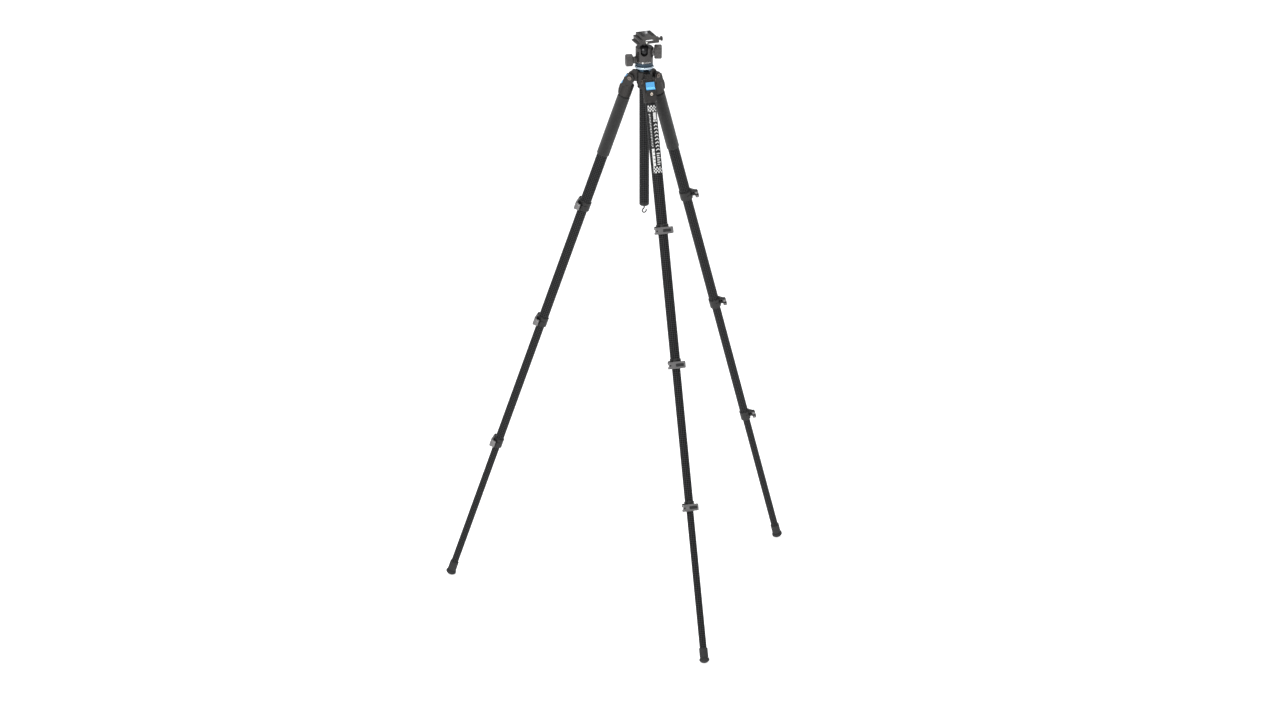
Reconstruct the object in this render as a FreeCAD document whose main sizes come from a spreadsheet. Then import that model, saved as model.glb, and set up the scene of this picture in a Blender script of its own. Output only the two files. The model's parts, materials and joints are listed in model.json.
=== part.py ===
import FreeCAD, Part
import math
import os
import re
import Sketcher

# A four-section carbon tripod with flip locks, a rising centre column with a weight hook,
# and a ball head that carries a dovetail quick-release plate.
# The origin is on the floor, under the centre column's axis. +Z is up, and the front leg
# points along -Y. Lengths are in millimetres and angles in degrees.

SIZES = (
    # stance
    ("lean", 19, "a spread leg's angle from upright"),
    ("hinge_radius", 30, "column axis to a leg hinge's axis"),
    ("sole_at", 1280, "leg hinge to the centre of the foot's round sole, along the leg"),
    ("sole_radius", 14, "radius of the foot's round sole"),
    # leg tubes, from the thickest down
    ("tube_dia_1", 25, "outer diameter of a leg's first section"),
    ("tube_dia_2", 22, "outer diameter of a leg's second section"),
    ("tube_dia_3", 19, "outer diameter of a leg's third section"),
    ("tube_dia_4", 16, "outer diameter of a leg's last section"),
    ("tube_wall", 1.2, "wall of every tube"),
    ("tube_start", 20, "leg hinge to the first tube's upper end"),
    ("tube_overlap", 22, "length of a drawn-out tube above the lock that holds it"),
    ("bush_length", 14, "length of the guide bush on a sliding tube's upper end"),
    ("bush_gap", 0.1, "radial clearance of that bush in the tube above"),
    # running clearances
    ("run_gap", 0.08, "radial clearance of a shaft that turns or slides in its hole"),
    ("side_gap", 0.3, "clearance between faces that pass each other"),
    ("bevel", 1, "bevel of a broad edge"),
    ("fine_bevel", 0.8, "bevel of a thin edge"),
    # flip locks
    ("lock_at_1", 317, "leg hinge to the upper end of the first lock"),
    ("lock_at_2", 616, "leg hinge to the upper end of the second lock"),
    ("lock_at_3", 933, "leg hinge to the upper end of the third lock"),
    ("collar_height", 22, "length of a lock's collar"),
    ("collar_wall", 1.7, "collar's wall outside the upper tube"),
    ("collar_seat", 7.5, "how far the upper tube goes into the collar"),
    ("slit_at", 8, "collar's upper end to the slit over its clamping ring"),
    ("slit_height", 1, "height of that slit"),
    ("split_width", 1.6, "width of the cut through the clamping ring"),
    ("split_side", 2, "that cut's nearer edge, sideways from the leg's middle"),
    ("bridge_share", 0.55, "where the slit ends at the back, as a share of the radius"),
    ("lever_height", 15.7, "height of a lock's lever"),
    ("lever_plate", 3.6, "thickness of a lock's lever"),
    ("lever_stand", 1.3, "gap between the collar and the lever's inner face"),
    ("lever_tip", 9.5, "lever's free end beyond the upper tube's radius, sideways"),
    ("lever_tip_depth", 10, "how far the free end curls back towards the collar"),
    ("lever_pin_side", 7.3, "lever's pin beyond the upper tube's radius, sideways"),
    ("lever_pin_dia", 3, "diameter of a lever's pin"),
    ("knuckle_radius", 4.2, "radius of a lever's round end, about its pin"),
    ("knuckle_root", 3, "length of the lever's thick root beyond its round end"),
    ("fork_root", 2.4, "depth of the lever's fork beyond its round end"),
    ("lever_lip", 3, "length of the lever's turned-in lip"),
    ("eye_height", 4.6, "height of the collar's eye between the lever's cheeks"),
    ("eye_radius", 2.4, "radius of the collar's eye about the lever's pin"),
    ("ear_height", 2.2, "thickness of the collar's ear above the lever"),
    ("port_dia", 3.4, "diameter of the lever's hole over its tension screw"),
    ("port_side", 1.2, "that hole's centre from the pin, sideways"),
    ("mark_width", 19, "width of the sunk field on the lever's face"),
    ("mark_start", 5, "that field's pin end from the leg's middle"),
    ("mark_height", 7, "height of that field"),
    ("mark_depth", 0.7, "depth of that field"),
    # leg castings and their stop tabs
    ("casting_width", 27, "width of a leg's casting across its fork"),
    ("casting_end", 47, "leg hinge to the casting's lower end"),
    ("casting_wall", 1.7, "casting's wall outside the first tube"),
    ("cheek_radius", 9, "radius of the fork's round end"),
    ("fork_depth", 11.5, "leg hinge to the floor of the fork's slot"),
    ("tab_width", 20, "width of a stop tab"),
    ("tab_height", 17, "height of a stop tab"),
    ("tab_plate", 3, "thickness of a stop tab"),
    ("tab_start", 2, "leg hinge to the stop tab's upper edge"),
    ("bolt_dia", 6, "diameter of a leg hinge's bolt"),
    ("bolt_head_dia", 10, "diameter of that bolt's heads"),
    ("bolt_head", 2.4, "height of that bolt's heads"),
    ("bolt_hex", 4, "width across the flats of that bolt's hex sockets"),
    # grips and feet
    ("grip_start", 49, "leg hinge to a foam grip's upper end"),
    ("grip_end", 198, "leg hinge to a foam grip's lower end"),
    ("grip_wall", 1.85, "thickness of a foam grip"),
    ("foot_length", 20, "foot's upper edge to the centre of its sole"),
    ("foot_wall", 1.7, "foot's wall outside the last tube"),
    ("foot_cup", 12, "depth of the last tube's seat in the foot"),
    ("foot_rim_dia", 22.8, "diameter of the foot's flared rim"),
    # spider
    ("hub_radius", 17, "radius of the spider's hub"),
    ("hub_top", 16.5, "top of the hub above the leg hinges"),
    ("hub_bottom", 14, "bottom of the hub below the leg hinges"),
    ("arm_width", 15, "width of a spider's arm"),
    ("arm_radius", 8, "radius of an arm's round end"),
    ("arm_crest", 50, "angle of the arm's rounding, from level to its sloping top"),
    ("neck_inset", 1.8, "lock ring's outer face to its thread"),
    # centre column
    ("column_dia", 22, "outer diameter of the centre column"),
    ("column_length", 308, "length of the centre column's tube"),
    ("column_top", 16, "top of the column's tube above the leg hinges, column down"),
    ("lock_ring_dia", 30.4, "diameter of the column's lock ring"),
    ("lock_ring_height", 9, "height of the column's lock ring"),
    ("disc_dia", 43.6, "diameter of the column's top disc"),
    ("disc_height", 3, "thickness of that disc's rim"),
    ("disc_at", 24.2, "underside of the rim above the leg hinges, column down"),
    ("disc_neck_dia", 31, "diameter of the disc's tapered underside at its foot"),
    ("stud_dia", 9.5, "diameter of the stud that holds the head"),
    ("stud_height", 8, "height of that stud above the disc"),
    ("plug_depth", 12, "how far the disc's plug goes into the column"),
    ("cap_height", 8, "height of the column's end cap below the tube, and of its plug inside"),
    # weight hook
    ("hook_rod", 3, "diameter of the hook's wire"),
    ("hook_radius", 4.6, "radius of the hook's bend, at the wire's middle"),
    ("hook_drop", 12.5, "end cap to the centre of the hook's bend"),
    ("hook_point", 2.5, "rise of the hook's point above that centre"),
    ("hook_head", 2, "height of the head on the hook's shank"),
    # ball head
    ("head_turn", -17, "the way the drop notch faces, turned from the front leg"),
    ("base_dia", 40.4, "diameter of the panning base"),
    ("base_height", 2.6, "height of the panning base's rim"),
    ("base_boss_dia", 22, "diameter of the base's boss inside the housing"),
    ("base_boss_height", 15, "height of that boss"),
    ("housing_dia", 39, "diameter of the ball housing"),
    ("housing_height", 42, "height of the ball housing"),
    ("ball_dia", 29, "diameter of the ball"),
    ("ball_at", 32.5, "housing's lower end to the ball's centre"),
    ("stem_dia", 11, "diameter of the ball's stem"),
    ("notch_width", 16, "width of the drop notch"),
    ("notch_depth", 9.5, "housing's upper end to the middle of the notch's round floor"),
    ("groove_turn", -131, "the way the housing's relief groove faces"),
    ("groove_width", 5, "width of that groove"),
    ("groove_depth", 2.5, "depth of that groove"),
    ("groove_low", 9, "housing's lower end to the groove's lower end"),
    ("groove_high", 34, "housing's lower end to the groove's upper end"),
    ("ball_knob_at", 30, "housing's lower end to the ball-lock knob's axis"),
    ("ball_knob_dia", 31, "diameter of the ball-lock knob"),
    ("ball_knob_reach", 39, "column axis to the ball-lock knob's outer face"),
    ("pan_knob_at", 11.5, "housing's lower end to the pan-lock knob's axis"),
    ("pan_knob_dia", 27, "diameter of the pan-lock knob"),
    ("pan_knob_reach", 42, "column axis to the pan-lock knob's outer face"),
    ("ball_knob_grip", 17, "length of the ball-lock knob's gripped part"),
    ("pan_knob_grip", 16, "length of the pan-lock knob's gripped part"),
    ("boss_share", 0.33, "a knob's boss, as a share of the knob's diameter"),
    ("boss_root", 3, "how deep a knob's boss runs into the housing"),
    ("boss_rise", 1.2, "how far a knob's boss stands out of the housing"),
    ("knob_shaft_dia", 6, "diameter of either knob's shaft"),
    ("knob_turn", 188, "the pan-lock knob's way, turned from the ball-lock knob's"),
    # clamp and quick-release plate, heights from the ball's centre
    ("plate_turn", 3, "the plate's turn about the column's axis"),
    ("plate_shift", 4.5, "the clamp's and the plate's middle, to the moving jaw's side of the axis"),
    ("stem_top", 20.2, "ball's centre to the clamp's underside"),
    ("clamp_floor", 27, "ball's centre to the clamp's floor"),
    ("jaw_top", 32.6, "ball's centre to the jaws' upper edges"),
    ("jaw_wall", 6, "thickness of a jaw outside the plate"),
    ("jaw_tongue", 4, "how far the clamp's left flange stands out under the jaw"),
    ("clamp_length", 39, "length of the clamp along the dovetail"),
    ("jaw_split", 12.5, "ball's axis to the moving jaw's inner face"),
    ("plate_width", 35, "width of the quick-release plate's dovetail"),
    ("plate_length", 40, "length of the plate"),
    ("plate_top", 38.5, "ball's centre to the plate's upper face"),
    ("plate_well", 6.4, "depth of the plate's well for the camera screw's head"),
    ("scoop_width", 18, "width of the finger scoop under the plate's end"),
    ("scoop_height", 3, "height of that scoop"),
    ("scoop_depth", 6, "how far that scoop runs in"),
    ("dovetail_foot", 1, "height of the plate's upright edge under the dovetail"),
    ("dovetail_rise", 3, "height and depth of the dovetail's flank"),
    ("clamp_knob_height", 23.6, "ball's centre up to the clamp knob's axis"),
    ("clamp_screw_dia", 5, "diameter of the clamp knob's screw"),
    ("clamp_knob_dia", 11.6, "diameter of the clamp knob's flanges"),
    ("clamp_knob_length", 14, "length of the clamp knob"),
    ("camera_screw_dia", 6.35, "diameter of the camera screw's thread"),
    ("camera_screw_length", 5.5, "length of the thread above the plate"),
    ("camera_head_dia", 14, "diameter of the camera screw's head"),
    ("camera_head", 2.5, "height of that head"),
    ("camera_neck", 0.35, "how much thinner the screw's neck is than its thread"),
    ("level_dia", 4, "diameter of the bubble level"),
    ("level_depth", 1.6, "depth of the level's seat in the clamp's end"),
    ("level_side", 6, "clamp's middle to the level's middle, sideways"),
    ("level_rise", 4, "clamp's underside to the middle of the bubble level"),
)

WORD = re.compile(r"\b(" + "|".join(name for name, value, note in SIZES) + r")\b")
LEGS = {"front": -90, "right": 30, "left": 150}
LOCKS = (1, 2, 3)
GRIPPED = ("right", "left")
PLANES = {"top": "XY_Plane", "front": "XZ_Plane", "side": "YZ_Plane"}

# heights above the floor, worked out from the driving sizes
HINGE_HEIGHT = "(sole_at * cos(lean * 1 deg) + sole_radius)"
BASE_AT = f"({HINGE_HEIGHT} + disc_at + disc_height)"
HOUSING_AT = f"({BASE_AT} + base_height)"
BALL_HEIGHT = f"({HOUSING_AT} + ball_at)"

doc = FreeCAD.newDocument("tripod")
sheet = doc.addObject("Spreadsheet::Sheet", "Sizes")
nodes = []


def fill_sheet():
    """Writes each driving size in a row of its own, with its alias and what it is."""
    for row, (name, value, note) in enumerate(SIZES, start=1):
        sheet.set(f"A{row}", name)
        sheet.set(f"B{row}", str(value))
        sheet.set(f"C{row}", note)
        sheet.setAlias(f"B{row}", name)
    doc.recompute()


def bound(text):
    """An expression in the sheet's own words, as the document writes it."""
    return WORD.sub(r"Sizes.\1", str(text))


def value_of(text):
    """What an expression comes to with the sizes as they stand."""
    return float(sheet.evalExpression(bound(text)))


def node(item, name, place):
    """Makes an object one of the object's own pieces, under its name and at its place."""
    item.Label = name
    item.setExpression("Placement", bound(place))
    nodes.append(item)
    return item


def upright(height, turn="0"):
    """The place of a piece on the column's axis."""
    return f"placement(vector(0; 0; {height}); rotation({turn}; 0; 0))"


def on_clamp(height):
    """The place of a piece of the clamp: turned with the plate and moved to its middle."""
    x = "plate_shift * cos(plate_turn * 1 deg)"
    y = "plate_shift * sin(plate_turn * 1 deg)"
    return f"placement(vector({x}; {y}; {height}); rotation(plate_turn; 0; 0))"


def on_leg(leg, along="0"):
    """The place of a piece on a leg's axis: its own Z runs up the leg, and its X outwards."""
    reach = f"(hinge_radius + ({along}) * sin(lean * 1 deg))"
    turn = LEGS[leg]
    x = f"{reach} * cos({turn} deg)"
    y = f"{reach} * sin({turn} deg)"
    z = f"{HINGE_HEIGHT} - ({along}) * cos(lean * 1 deg)"
    return f"placement(vector({x}; {y}; {z}); rotation({turn}; -lean; 0))"


# ---- sketches and features -------------------------------------------------------------

def new_body(name):
    return doc.addObject("PartDesign::Body", name)


def new_sketch(body, plane, offset=None):
    """A sketch on one of the body's own origin planes, or at an offset from it."""
    sketch = body.newObject("Sketcher::SketchObject", body.Name + "_sketch")
    role = PLANES[plane]
    face = [f for f in body.Origin.OriginFeatures if f.Role == role][0]
    sketch.AttachmentSupport = [(face, "")]
    sketch.MapMode = "FlatFace"
    if offset is not None:
        sketch.setExpression("AttachmentOffset.Base.z", bound(offset))
    return sketch


def hold(sketch, geometry, point, axis, text):
    """Ties one coordinate of a sketch point to an expression."""
    amount = value_of(text)
    if abs(amount) < 1e-9:
        line = -2 if axis == "X" else -1
        sketch.addConstraint(Sketcher.Constraint("PointOnObject", geometry, point, line))
        return
    kind = "Distance" + axis
    index = sketch.addConstraint(Sketcher.Constraint(kind, -1, 1, geometry, point, amount))
    sketch.setExpression(f"Constraints[{index}]", bound(text))


def draw(sketch, path, closed=True):
    """An outline, closed or open. A pair is a corner; between two corners, a triple
    (x, y, turn) is the centre of an arc that joins them, anticlockwise if turn is 1 and
    clockwise if it is -1."""
    corners = [item for item in path if len(item) == 2]
    centres = {}
    for number, item in enumerate(path):
        if len(item) == 3:
            centres[number - len(centres) - 1] = item
    spots = [FreeCAD.Vector(value_of(x), value_of(y), 0) for x, y in corners]
    count = len(corners) if closed else len(corners) - 1
    ends = []
    for number in range(count):
        start = spots[number]
        end = spots[(number + 1) % len(spots)]
        if number in centres:
            x, y, turn = centres[number]
            centre = FreeCAD.Vector(value_of(x), value_of(y), 0)
            sketch.addGeometry(arc_between(centre, start, end, turn))
            ends.append((1, 2) if turn > 0 else (2, 1))
        else:
            sketch.addGeometry(Part.LineSegment(start, end))
            ends.append((1, 2))
    for number in range(count if closed else count - 1):
        after = (number + 1) % count
        sketch.addConstraint(Sketcher.Constraint(
            "Coincident", number, ends[number][1], after, ends[after][0]))
    for number in range(count):
        hold(sketch, number, ends[number][0], "X", corners[number][0])
        hold(sketch, number, ends[number][0], "Y", corners[number][1])
    if not closed:
        hold(sketch, count - 1, ends[-1][1], "X", corners[-1][0])
        hold(sketch, count - 1, ends[-1][1], "Y", corners[-1][1])
    for number, (x, y, turn) in centres.items():
        chord = spots[(number + 1) % len(spots)] - spots[number]
        if abs(chord.y) > abs(chord.x):
            hold(sketch, number, 3, "X", x)
        else:
            hold(sketch, number, 3, "Y", y)
    return sketch


def arc_between(centre, start, end, turn):
    """An arc about a centre, from start to end the way that turn says."""
    radius = (start - centre).Length
    begin = math.atan2(start.y - centre.y, start.x - centre.x)
    finish = math.atan2(end.y - centre.y, end.x - centre.x)
    if turn < 0:
        begin, finish = finish, begin
    if finish <= begin:
        finish += 2 * math.pi
    circle = Part.Circle(centre, FreeCAD.Vector(0, 0, 1), radius)
    return Part.ArcOfCircle(circle, begin, finish)


def draw_circle(sketch, radius, x="0", y="0"):
    """A circle whose radius and centre are tied to expressions."""
    centre = FreeCAD.Vector(value_of(x), value_of(y), 0)
    number = sketch.addGeometry(
        Part.Circle(centre, FreeCAD.Vector(0, 0, 1), value_of(radius)))
    index = sketch.addConstraint(Sketcher.Constraint("Radius", number, value_of(radius)))
    sketch.setExpression(f"Constraints[{index}]", bound(radius))
    if abs(centre.x) < 1e-9 and abs(centre.y) < 1e-9:
        sketch.addConstraint(Sketcher.Constraint("Coincident", number, 3, -1, 1))
    else:
        hold(sketch, number, 3, "X", x)
        hold(sketch, number, 3, "Y", y)
    return sketch


def add(body, kind, sketch):
    feature = body.newObject("PartDesign::" + kind, body.Name + "_" + kind.lower())
    feature.Profile = sketch
    body.Tip = feature
    return feature


def pad(body, sketch, length, both=True):
    """Thickens a sketch into a solid, to both sides of its plane or along its normal."""
    feature = add(body, "Pad", sketch)
    feature.Midplane = both
    feature.setExpression("Length", bound(length))
    return feature


def pocket(body, sketch, length=None, flip=False):
    """Cuts a sketch out, right through both ways, or to a depth on one side."""
    before = volume(body)
    feature = add(body, "Pocket", sketch)
    if length is None:
        feature.Type = "ThroughAll"
        feature.Midplane = True
    else:
        feature.setExpression("Length", bound(length))
        feature.Reversed = flip
    check_cut(body, before, sketch)
    return feature


def turned(body, sketch, axis="V_Axis"):
    """Turns a sketch about its own upright axis, or about its level one."""
    feature = add(body, "Revolution", sketch)
    feature.ReferenceAxis = (sketch, [axis])
    feature.Angle = 360
    return feature


def volume(body):
    doc.recompute()
    return body.Shape.Volume


def check_cut(body, before, sketch):
    """A cut that points away from the solid removes nothing and shows no error."""
    if volume(body) > before - 1e-3:
        raise RuntimeError(f"{sketch.Label} cuts nothing from {body.Name}")


def repeat(body, features, count):
    """Repeats features round the body's upright axis."""
    pattern = body.newObject("PartDesign::PolarPattern", body.Name + "_pattern")
    pattern.Originals = features
    axis = [f for f in body.Origin.OriginFeatures if f.Role == "Z_Axis"][0]
    pattern.Axis = (axis, [""])
    pattern.Angle = 360
    pattern.Occurrences = count
    body.Tip = pattern
    return pattern


def spindle(name, path):
    """A turned piece: the half-section given is turned about the upright axis."""
    body = new_body(name)
    turned(body, draw(new_sketch(body, "front"), path))
    return body


def tube(name, outer, inner, top, bottom):
    """A plain tube on the upright axis, between two heights."""
    return spindle(name, [(inner, bottom), (outer, bottom), (outer, top), (inner, top)])


def group(name, parts):
    """Several separate solids that make one piece of the list."""
    compound = doc.addObject("Part::Compound", name)
    compound.Links = parts
    return compound


# ---- legs ------------------------------------------------------------------------------

def upper_radius(lock):
    return f"tube_dia_{lock} / 2"


def collar_radius(lock):
    return f"({upper_radius(lock)} + collar_wall)"


def pin_spot(lock):
    """Where a lever's pin stands, seen along the leg: outwards, then sideways."""
    outwards = f"({collar_radius(lock)} + lever_stand + lever_plate - knuckle_radius)"
    sideways = f"(-{upper_radius(lock)} - lever_pin_side)"
    return outwards, sideways


def lever_bottom():
    return "(-collar_height + side_gap)"


def eye_middle():
    return f"({lever_bottom()} + lever_height / 2)"


def leg_tube(leg, number):
    """A carbon tube. A sliding one has a guide bush glued round its upper end."""
    outer = f"tube_dia_{number} / 2"
    inner = f"({outer} - tube_wall)"
    name = f"{leg}_leg_tube_{number}"
    if number == 1:
        top = "-tube_start"
        parts = []
    else:
        top = f"-(lock_at_{number - 1} - tube_overlap)"
        bore = f"(tube_dia_{number - 1} / 2 - tube_wall)"
        bush = tube(name + "_bush", f"({bore} - bush_gap)", outer, top,
                    f"({top} - bush_length)")
        parts = [bush]
    if number == 4:
        bottom = "-(sole_at - foot_length + foot_cup)"
    else:
        bottom = f"-(lock_at_{number} + collar_seat)"
    parts.insert(0, tube(name + "_carbon", outer, inner, top, bottom))
    node(group(name, parts), name, on_leg(leg))


def lock_collar(leg, lock):
    """A lock's collar: a ring on the upper tube, a slit clamping ring round the lower one,
    an ear and an eye that hold the lever's pin, and the tension screw through the eye."""
    name = f"{leg}_lock_collar_{lock}"
    outer = collar_radius(lock)
    seat = upper_radius(lock)
    clamp = f"(tube_dia_{lock + 1} / 2 + run_gap)"
    body = new_body(name + "_ring")
    turned(body, draw(new_sketch(body, "front"), [
        (seat, "0"), (seat, "-collar_seat"), (clamp, "-collar_seat"),
        (clamp, "-collar_height"), (f"({outer} - fine_bevel)", "-collar_height"),
        (outer, "-(collar_height - fine_bevel)"), (outer, "-bevel"),
        (f"({outer} - bevel)", "0")]))
    pin_x, pin_y = pin_spot(lock)
    join_pin(body, lock, "eye_radius", "eye_height", eye_middle())
    ear_middle = f"({lever_bottom()} + lever_height + side_gap + ear_height / 2)"
    join_pin(body, lock, "knuckle_radius * 0.86", "ear_height", ear_middle)
    slit = new_sketch(body, "top", "-slit_at")
    bridge = f"-({outer} * bridge_share)"
    draw(slit, [(bridge, f"-({outer} + 1)"), (f"({outer} + 1)", f"-({outer} + 1)"),
                (f"({outer} + 1)", f"({outer} + 1)"), (bridge, f"({outer} + 1)")])
    pocket(body, slit, "slit_height")
    split = new_sketch(body, "top", "-slit_at - slit_height / 2")
    draw(split, [("0", "split_side"), (f"({outer} + 1)", "split_side"),
                 (f"({outer} + 1)", "(split_side + split_width)"),
                 ("0", "(split_side + split_width)")])
    pocket(body, split, "collar_height")
    bore = new_sketch(body, "top")
    draw_circle(bore, "lever_pin_dia / 2", pin_x, pin_y)
    pocket(body, bore)
    pin = doc.addObject("Part::Cylinder", name + "_pin")
    pin.setExpression("Radius", bound("lever_pin_dia / 2"))
    pin.setExpression("Height", bound("(lever_height + side_gap + ear_height)"))
    pin.setExpression("Placement.Base.x", bound(pin_x))
    pin.setExpression("Placement.Base.y", bound(pin_y))
    pin.setExpression("Placement.Base.z", bound(lever_bottom()))
    node(group(name, [body, pin]), name, on_leg(leg, f"lock_at_{lock}"))


def join_pin(body, lock, radius, height, middle):
    """A lug from the collar out to the lever's pin, rounded about it."""
    pin_x, pin_y = pin_spot(lock)
    reach = f"sqrt({pin_x} * {pin_x} + {pin_y} * {pin_y})"
    along_x = f"({pin_x} / {reach})"
    along_y = f"({pin_y} / {reach})"
    root = f"({collar_radius(lock)} - collar_wall / 2)"
    sketch = new_sketch(body, "top", middle)
    left = (f"({root} * {along_x} - {radius} * {along_y})",
            f"({root} * {along_y} + {radius} * {along_x})")
    right = (f"({root} * {along_x} + {radius} * {along_y})",
             f"({root} * {along_y} - {radius} * {along_x})")
    left_end = (f"({pin_x} - {radius} * {along_y})", f"({pin_y} + {radius} * {along_x})")
    right_end = (f"({pin_x} + {radius} * {along_y})", f"({pin_y} - {radius} * {along_x})")
    draw(sketch, [left, right, right_end, (pin_x, pin_y, 1), left_end])
    pad(body, sketch, height)


def lock_lever(leg, lock):
    """A lock's lever: a curved plate across the collar, forked at its pin, with a rounded
    free end that a finger lifts."""
    name = f"{leg}_lock_lever_{lock}"
    pin_x, pin_y = pin_spot(lock)
    inner = f"({collar_radius(lock)} + lever_stand)"
    face = f"({inner} + lever_plate)"
    tip = f"({upper_radius(lock)} + lever_tip)"
    bend = "lever_tip_depth"
    turn_x = f"({face} - {bend})"
    turn_y = f"({tip} - {bend})"
    end_x = f"({turn_x} - lever_lip)"
    body = new_body(name)
    outline = new_sketch(body, "top", f"({lever_bottom()} + lever_height / 2)")
    draw(outline, [
        (face, pin_y), (face, turn_y), (turn_x, turn_y, 1), (turn_x, tip), (end_x, tip),
        (end_x, f"({tip} - lever_plate)"), (turn_x, f"({tip} - lever_plate)"),
        (turn_x, turn_y, -1), (inner, turn_y), (inner, f"({pin_y} + knuckle_radius + knuckle_root)"),
        (f"({pin_x} - knuckle_radius)", f"({pin_y} + knuckle_radius / 2)"),
        (f"({pin_x} - knuckle_radius)", pin_y), (pin_x, pin_y, 1)])
    pad(body, outline, "lever_height")
    slot = "(eye_height / 2 + side_gap)"
    fork = new_sketch(body, "side")
    draw(fork, [
        (f"({pin_y} - knuckle_radius - 1)", f"({eye_middle()} - {slot})"),
        (f"({pin_y} + knuckle_radius + fork_root)", f"({eye_middle()} - {slot})"),
        (f"({pin_y} + knuckle_radius + fork_root)", f"({eye_middle()} + {slot})"),
        (f"({pin_y} - knuckle_radius - 1)", f"({eye_middle()} + {slot})")])
    pocket(body, fork, f"({pin_x} + eye_radius + side_gap)", flip=True)
    bore = new_sketch(body, "top")
    draw_circle(bore, "(lever_pin_dia / 2 + run_gap)", pin_x, pin_y)
    pocket(body, bore)
    field = new_sketch(body, "side", f"({face} - mark_depth)")
    low = f"({eye_middle()} - mark_height / 2)"
    high = f"({eye_middle()} + mark_height / 2)"
    draw(field, [("-mark_start", low), ("(mark_width - mark_start)", low),
                 ("(mark_width - mark_start)", high), ("-mark_start", high)])
    pocket(body, field, "mark_depth * 2", flip=True)
    port = new_sketch(body, "side", face)
    draw_circle(port, "port_dia / 2", f"({pin_y} + port_side)", eye_middle())
    pocket(body, port, "lever_plate")
    node(body, name, on_leg(leg, f"lock_at_{lock}"))


def leg_casting(leg):
    """A leg's upper casting: a socket for the first tube under a fork for the spider's arm."""
    name = f"{leg}_leg_casting"
    body = new_body(name)
    outer = "(tube_dia_1 / 2 + casting_wall)"
    turned(body, draw(new_sketch(body, "front"), [
        ("0", "-(fork_depth + 5)"), (f"({outer} - 2)", "-(fork_depth + 5)"),
        (outer, "-(fork_depth + 7)"), (outer, "-(casting_end - 1)"),
        (f"({outer} - 1)", "-casting_end"), ("0", "-casting_end")]))
    fork = new_sketch(body, "front")
    draw(fork, [
        ("-cheek_radius", "0"), ("-cheek_radius", "-(fork_depth + 6)"),
        ("cheek_radius + 3.4", "-(fork_depth + 13)"), ("cheek_radius + 3.4", "-tab_start"),
        ("cheek_radius", "0"), ("0", "0", 1)])
    pad(body, fork, "casting_width")
    shoulder = new_sketch(body, "front")
    draw(shoulder, [
        ("0", "-(fork_depth + 8)"), ("cheek_radius + 3.4", "-(tab_start + tab_height)"),
        (f"({outer} + 2.2)", "-(tab_start + tab_height + 4)"),
        (f"({outer} + 2.2)", "-(tab_start + tab_height + 14)"),
        (f"({outer} - 0.4)", "-(casting_end - 3)"), ("0", "-(casting_end - 3)")])
    pad(body, shoulder, "casting_width - 6")
    slot = new_sketch(body, "side")
    half = "(arm_width / 2 + side_gap)"
    draw(slot, [(f"-{half}", "cheek_radius + 1"), (f"-{half}", "-fork_depth"),
                (half, "-fork_depth"), (half, "cheek_radius + 1")])
    pocket(body, slot)
    recess = new_sketch(body, "side", "cheek_radius + side_gap / 2")
    wide = "(tab_width / 2 + side_gap)"
    draw(recess, [(f"-{wide}", "cheek_radius"), (f"-{wide}", "-(tab_start + tab_height + side_gap)"),
                  (wide, "-(tab_start + tab_height + side_gap)"), (wide, "cheek_radius")])
    pocket(body, recess, "cheek_radius", flip=True)
    hinge = new_sketch(body, "front")
    draw_circle(hinge, "(bolt_dia / 2 + run_gap)")
    pocket(body, hinge)
    socket = new_sketch(body, "top", "-casting_end")
    draw_circle(socket, "tube_dia_1 / 2")
    pocket(body, socket, "casting_end - tube_start", flip=True)
    node(body, name, on_leg(leg))


def stop_tab(leg):
    """The pull-out tab that sets a leg's angle, with a finger lip and a tongue in the fork."""
    name = f"{leg}_stop_tab"
    body = new_body(name)
    under = "(cheek_radius + side_gap)"
    over = "(cheek_radius + side_gap + tab_plate)"
    low = "-(tab_start + tab_height)"
    plate = new_sketch(body, "front")
    draw(plate, [
        (under, "-tab_start"), (under, low), (f"({over} + 3)", low),
        (f"({over} + 3)", f"({low} + 2)"), (over, f"({low} + 6)"), (over, "-tab_start")])
    pad(body, plate, "tab_width")
    tongue = new_sketch(body, "front")
    draw(tongue, [
        (f"({under} + 1)", "-(tab_start + 3)"), ("(cheek_radius - 1)", "-(tab_start + 3)"),
        ("(cheek_radius - 3)", "-(fork_depth - 1)"), (f"({under} + 1)", "-(fork_depth - 1)")])
    pad(body, tongue, "arm_width - 2")
    node(body, name, on_leg(leg))


def foam_grip(leg):
    """A foam sleeve on the first tube."""
    name = f"{leg}_foam_grip"
    outer = "(tube_dia_1 / 2 + grip_wall)"
    body = spindle(name, [
        ("tube_dia_1 / 2", "-grip_end"), (f"({outer} - 0.8)", "-grip_end"),
        (outer, "-(grip_end - 1.5)"), (outer, "-(grip_start + 1.5)"),
        (f"({outer} - 0.8)", "-grip_start"), ("tube_dia_1 / 2", "-grip_start")])
    node(body, name, on_leg(leg))


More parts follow.
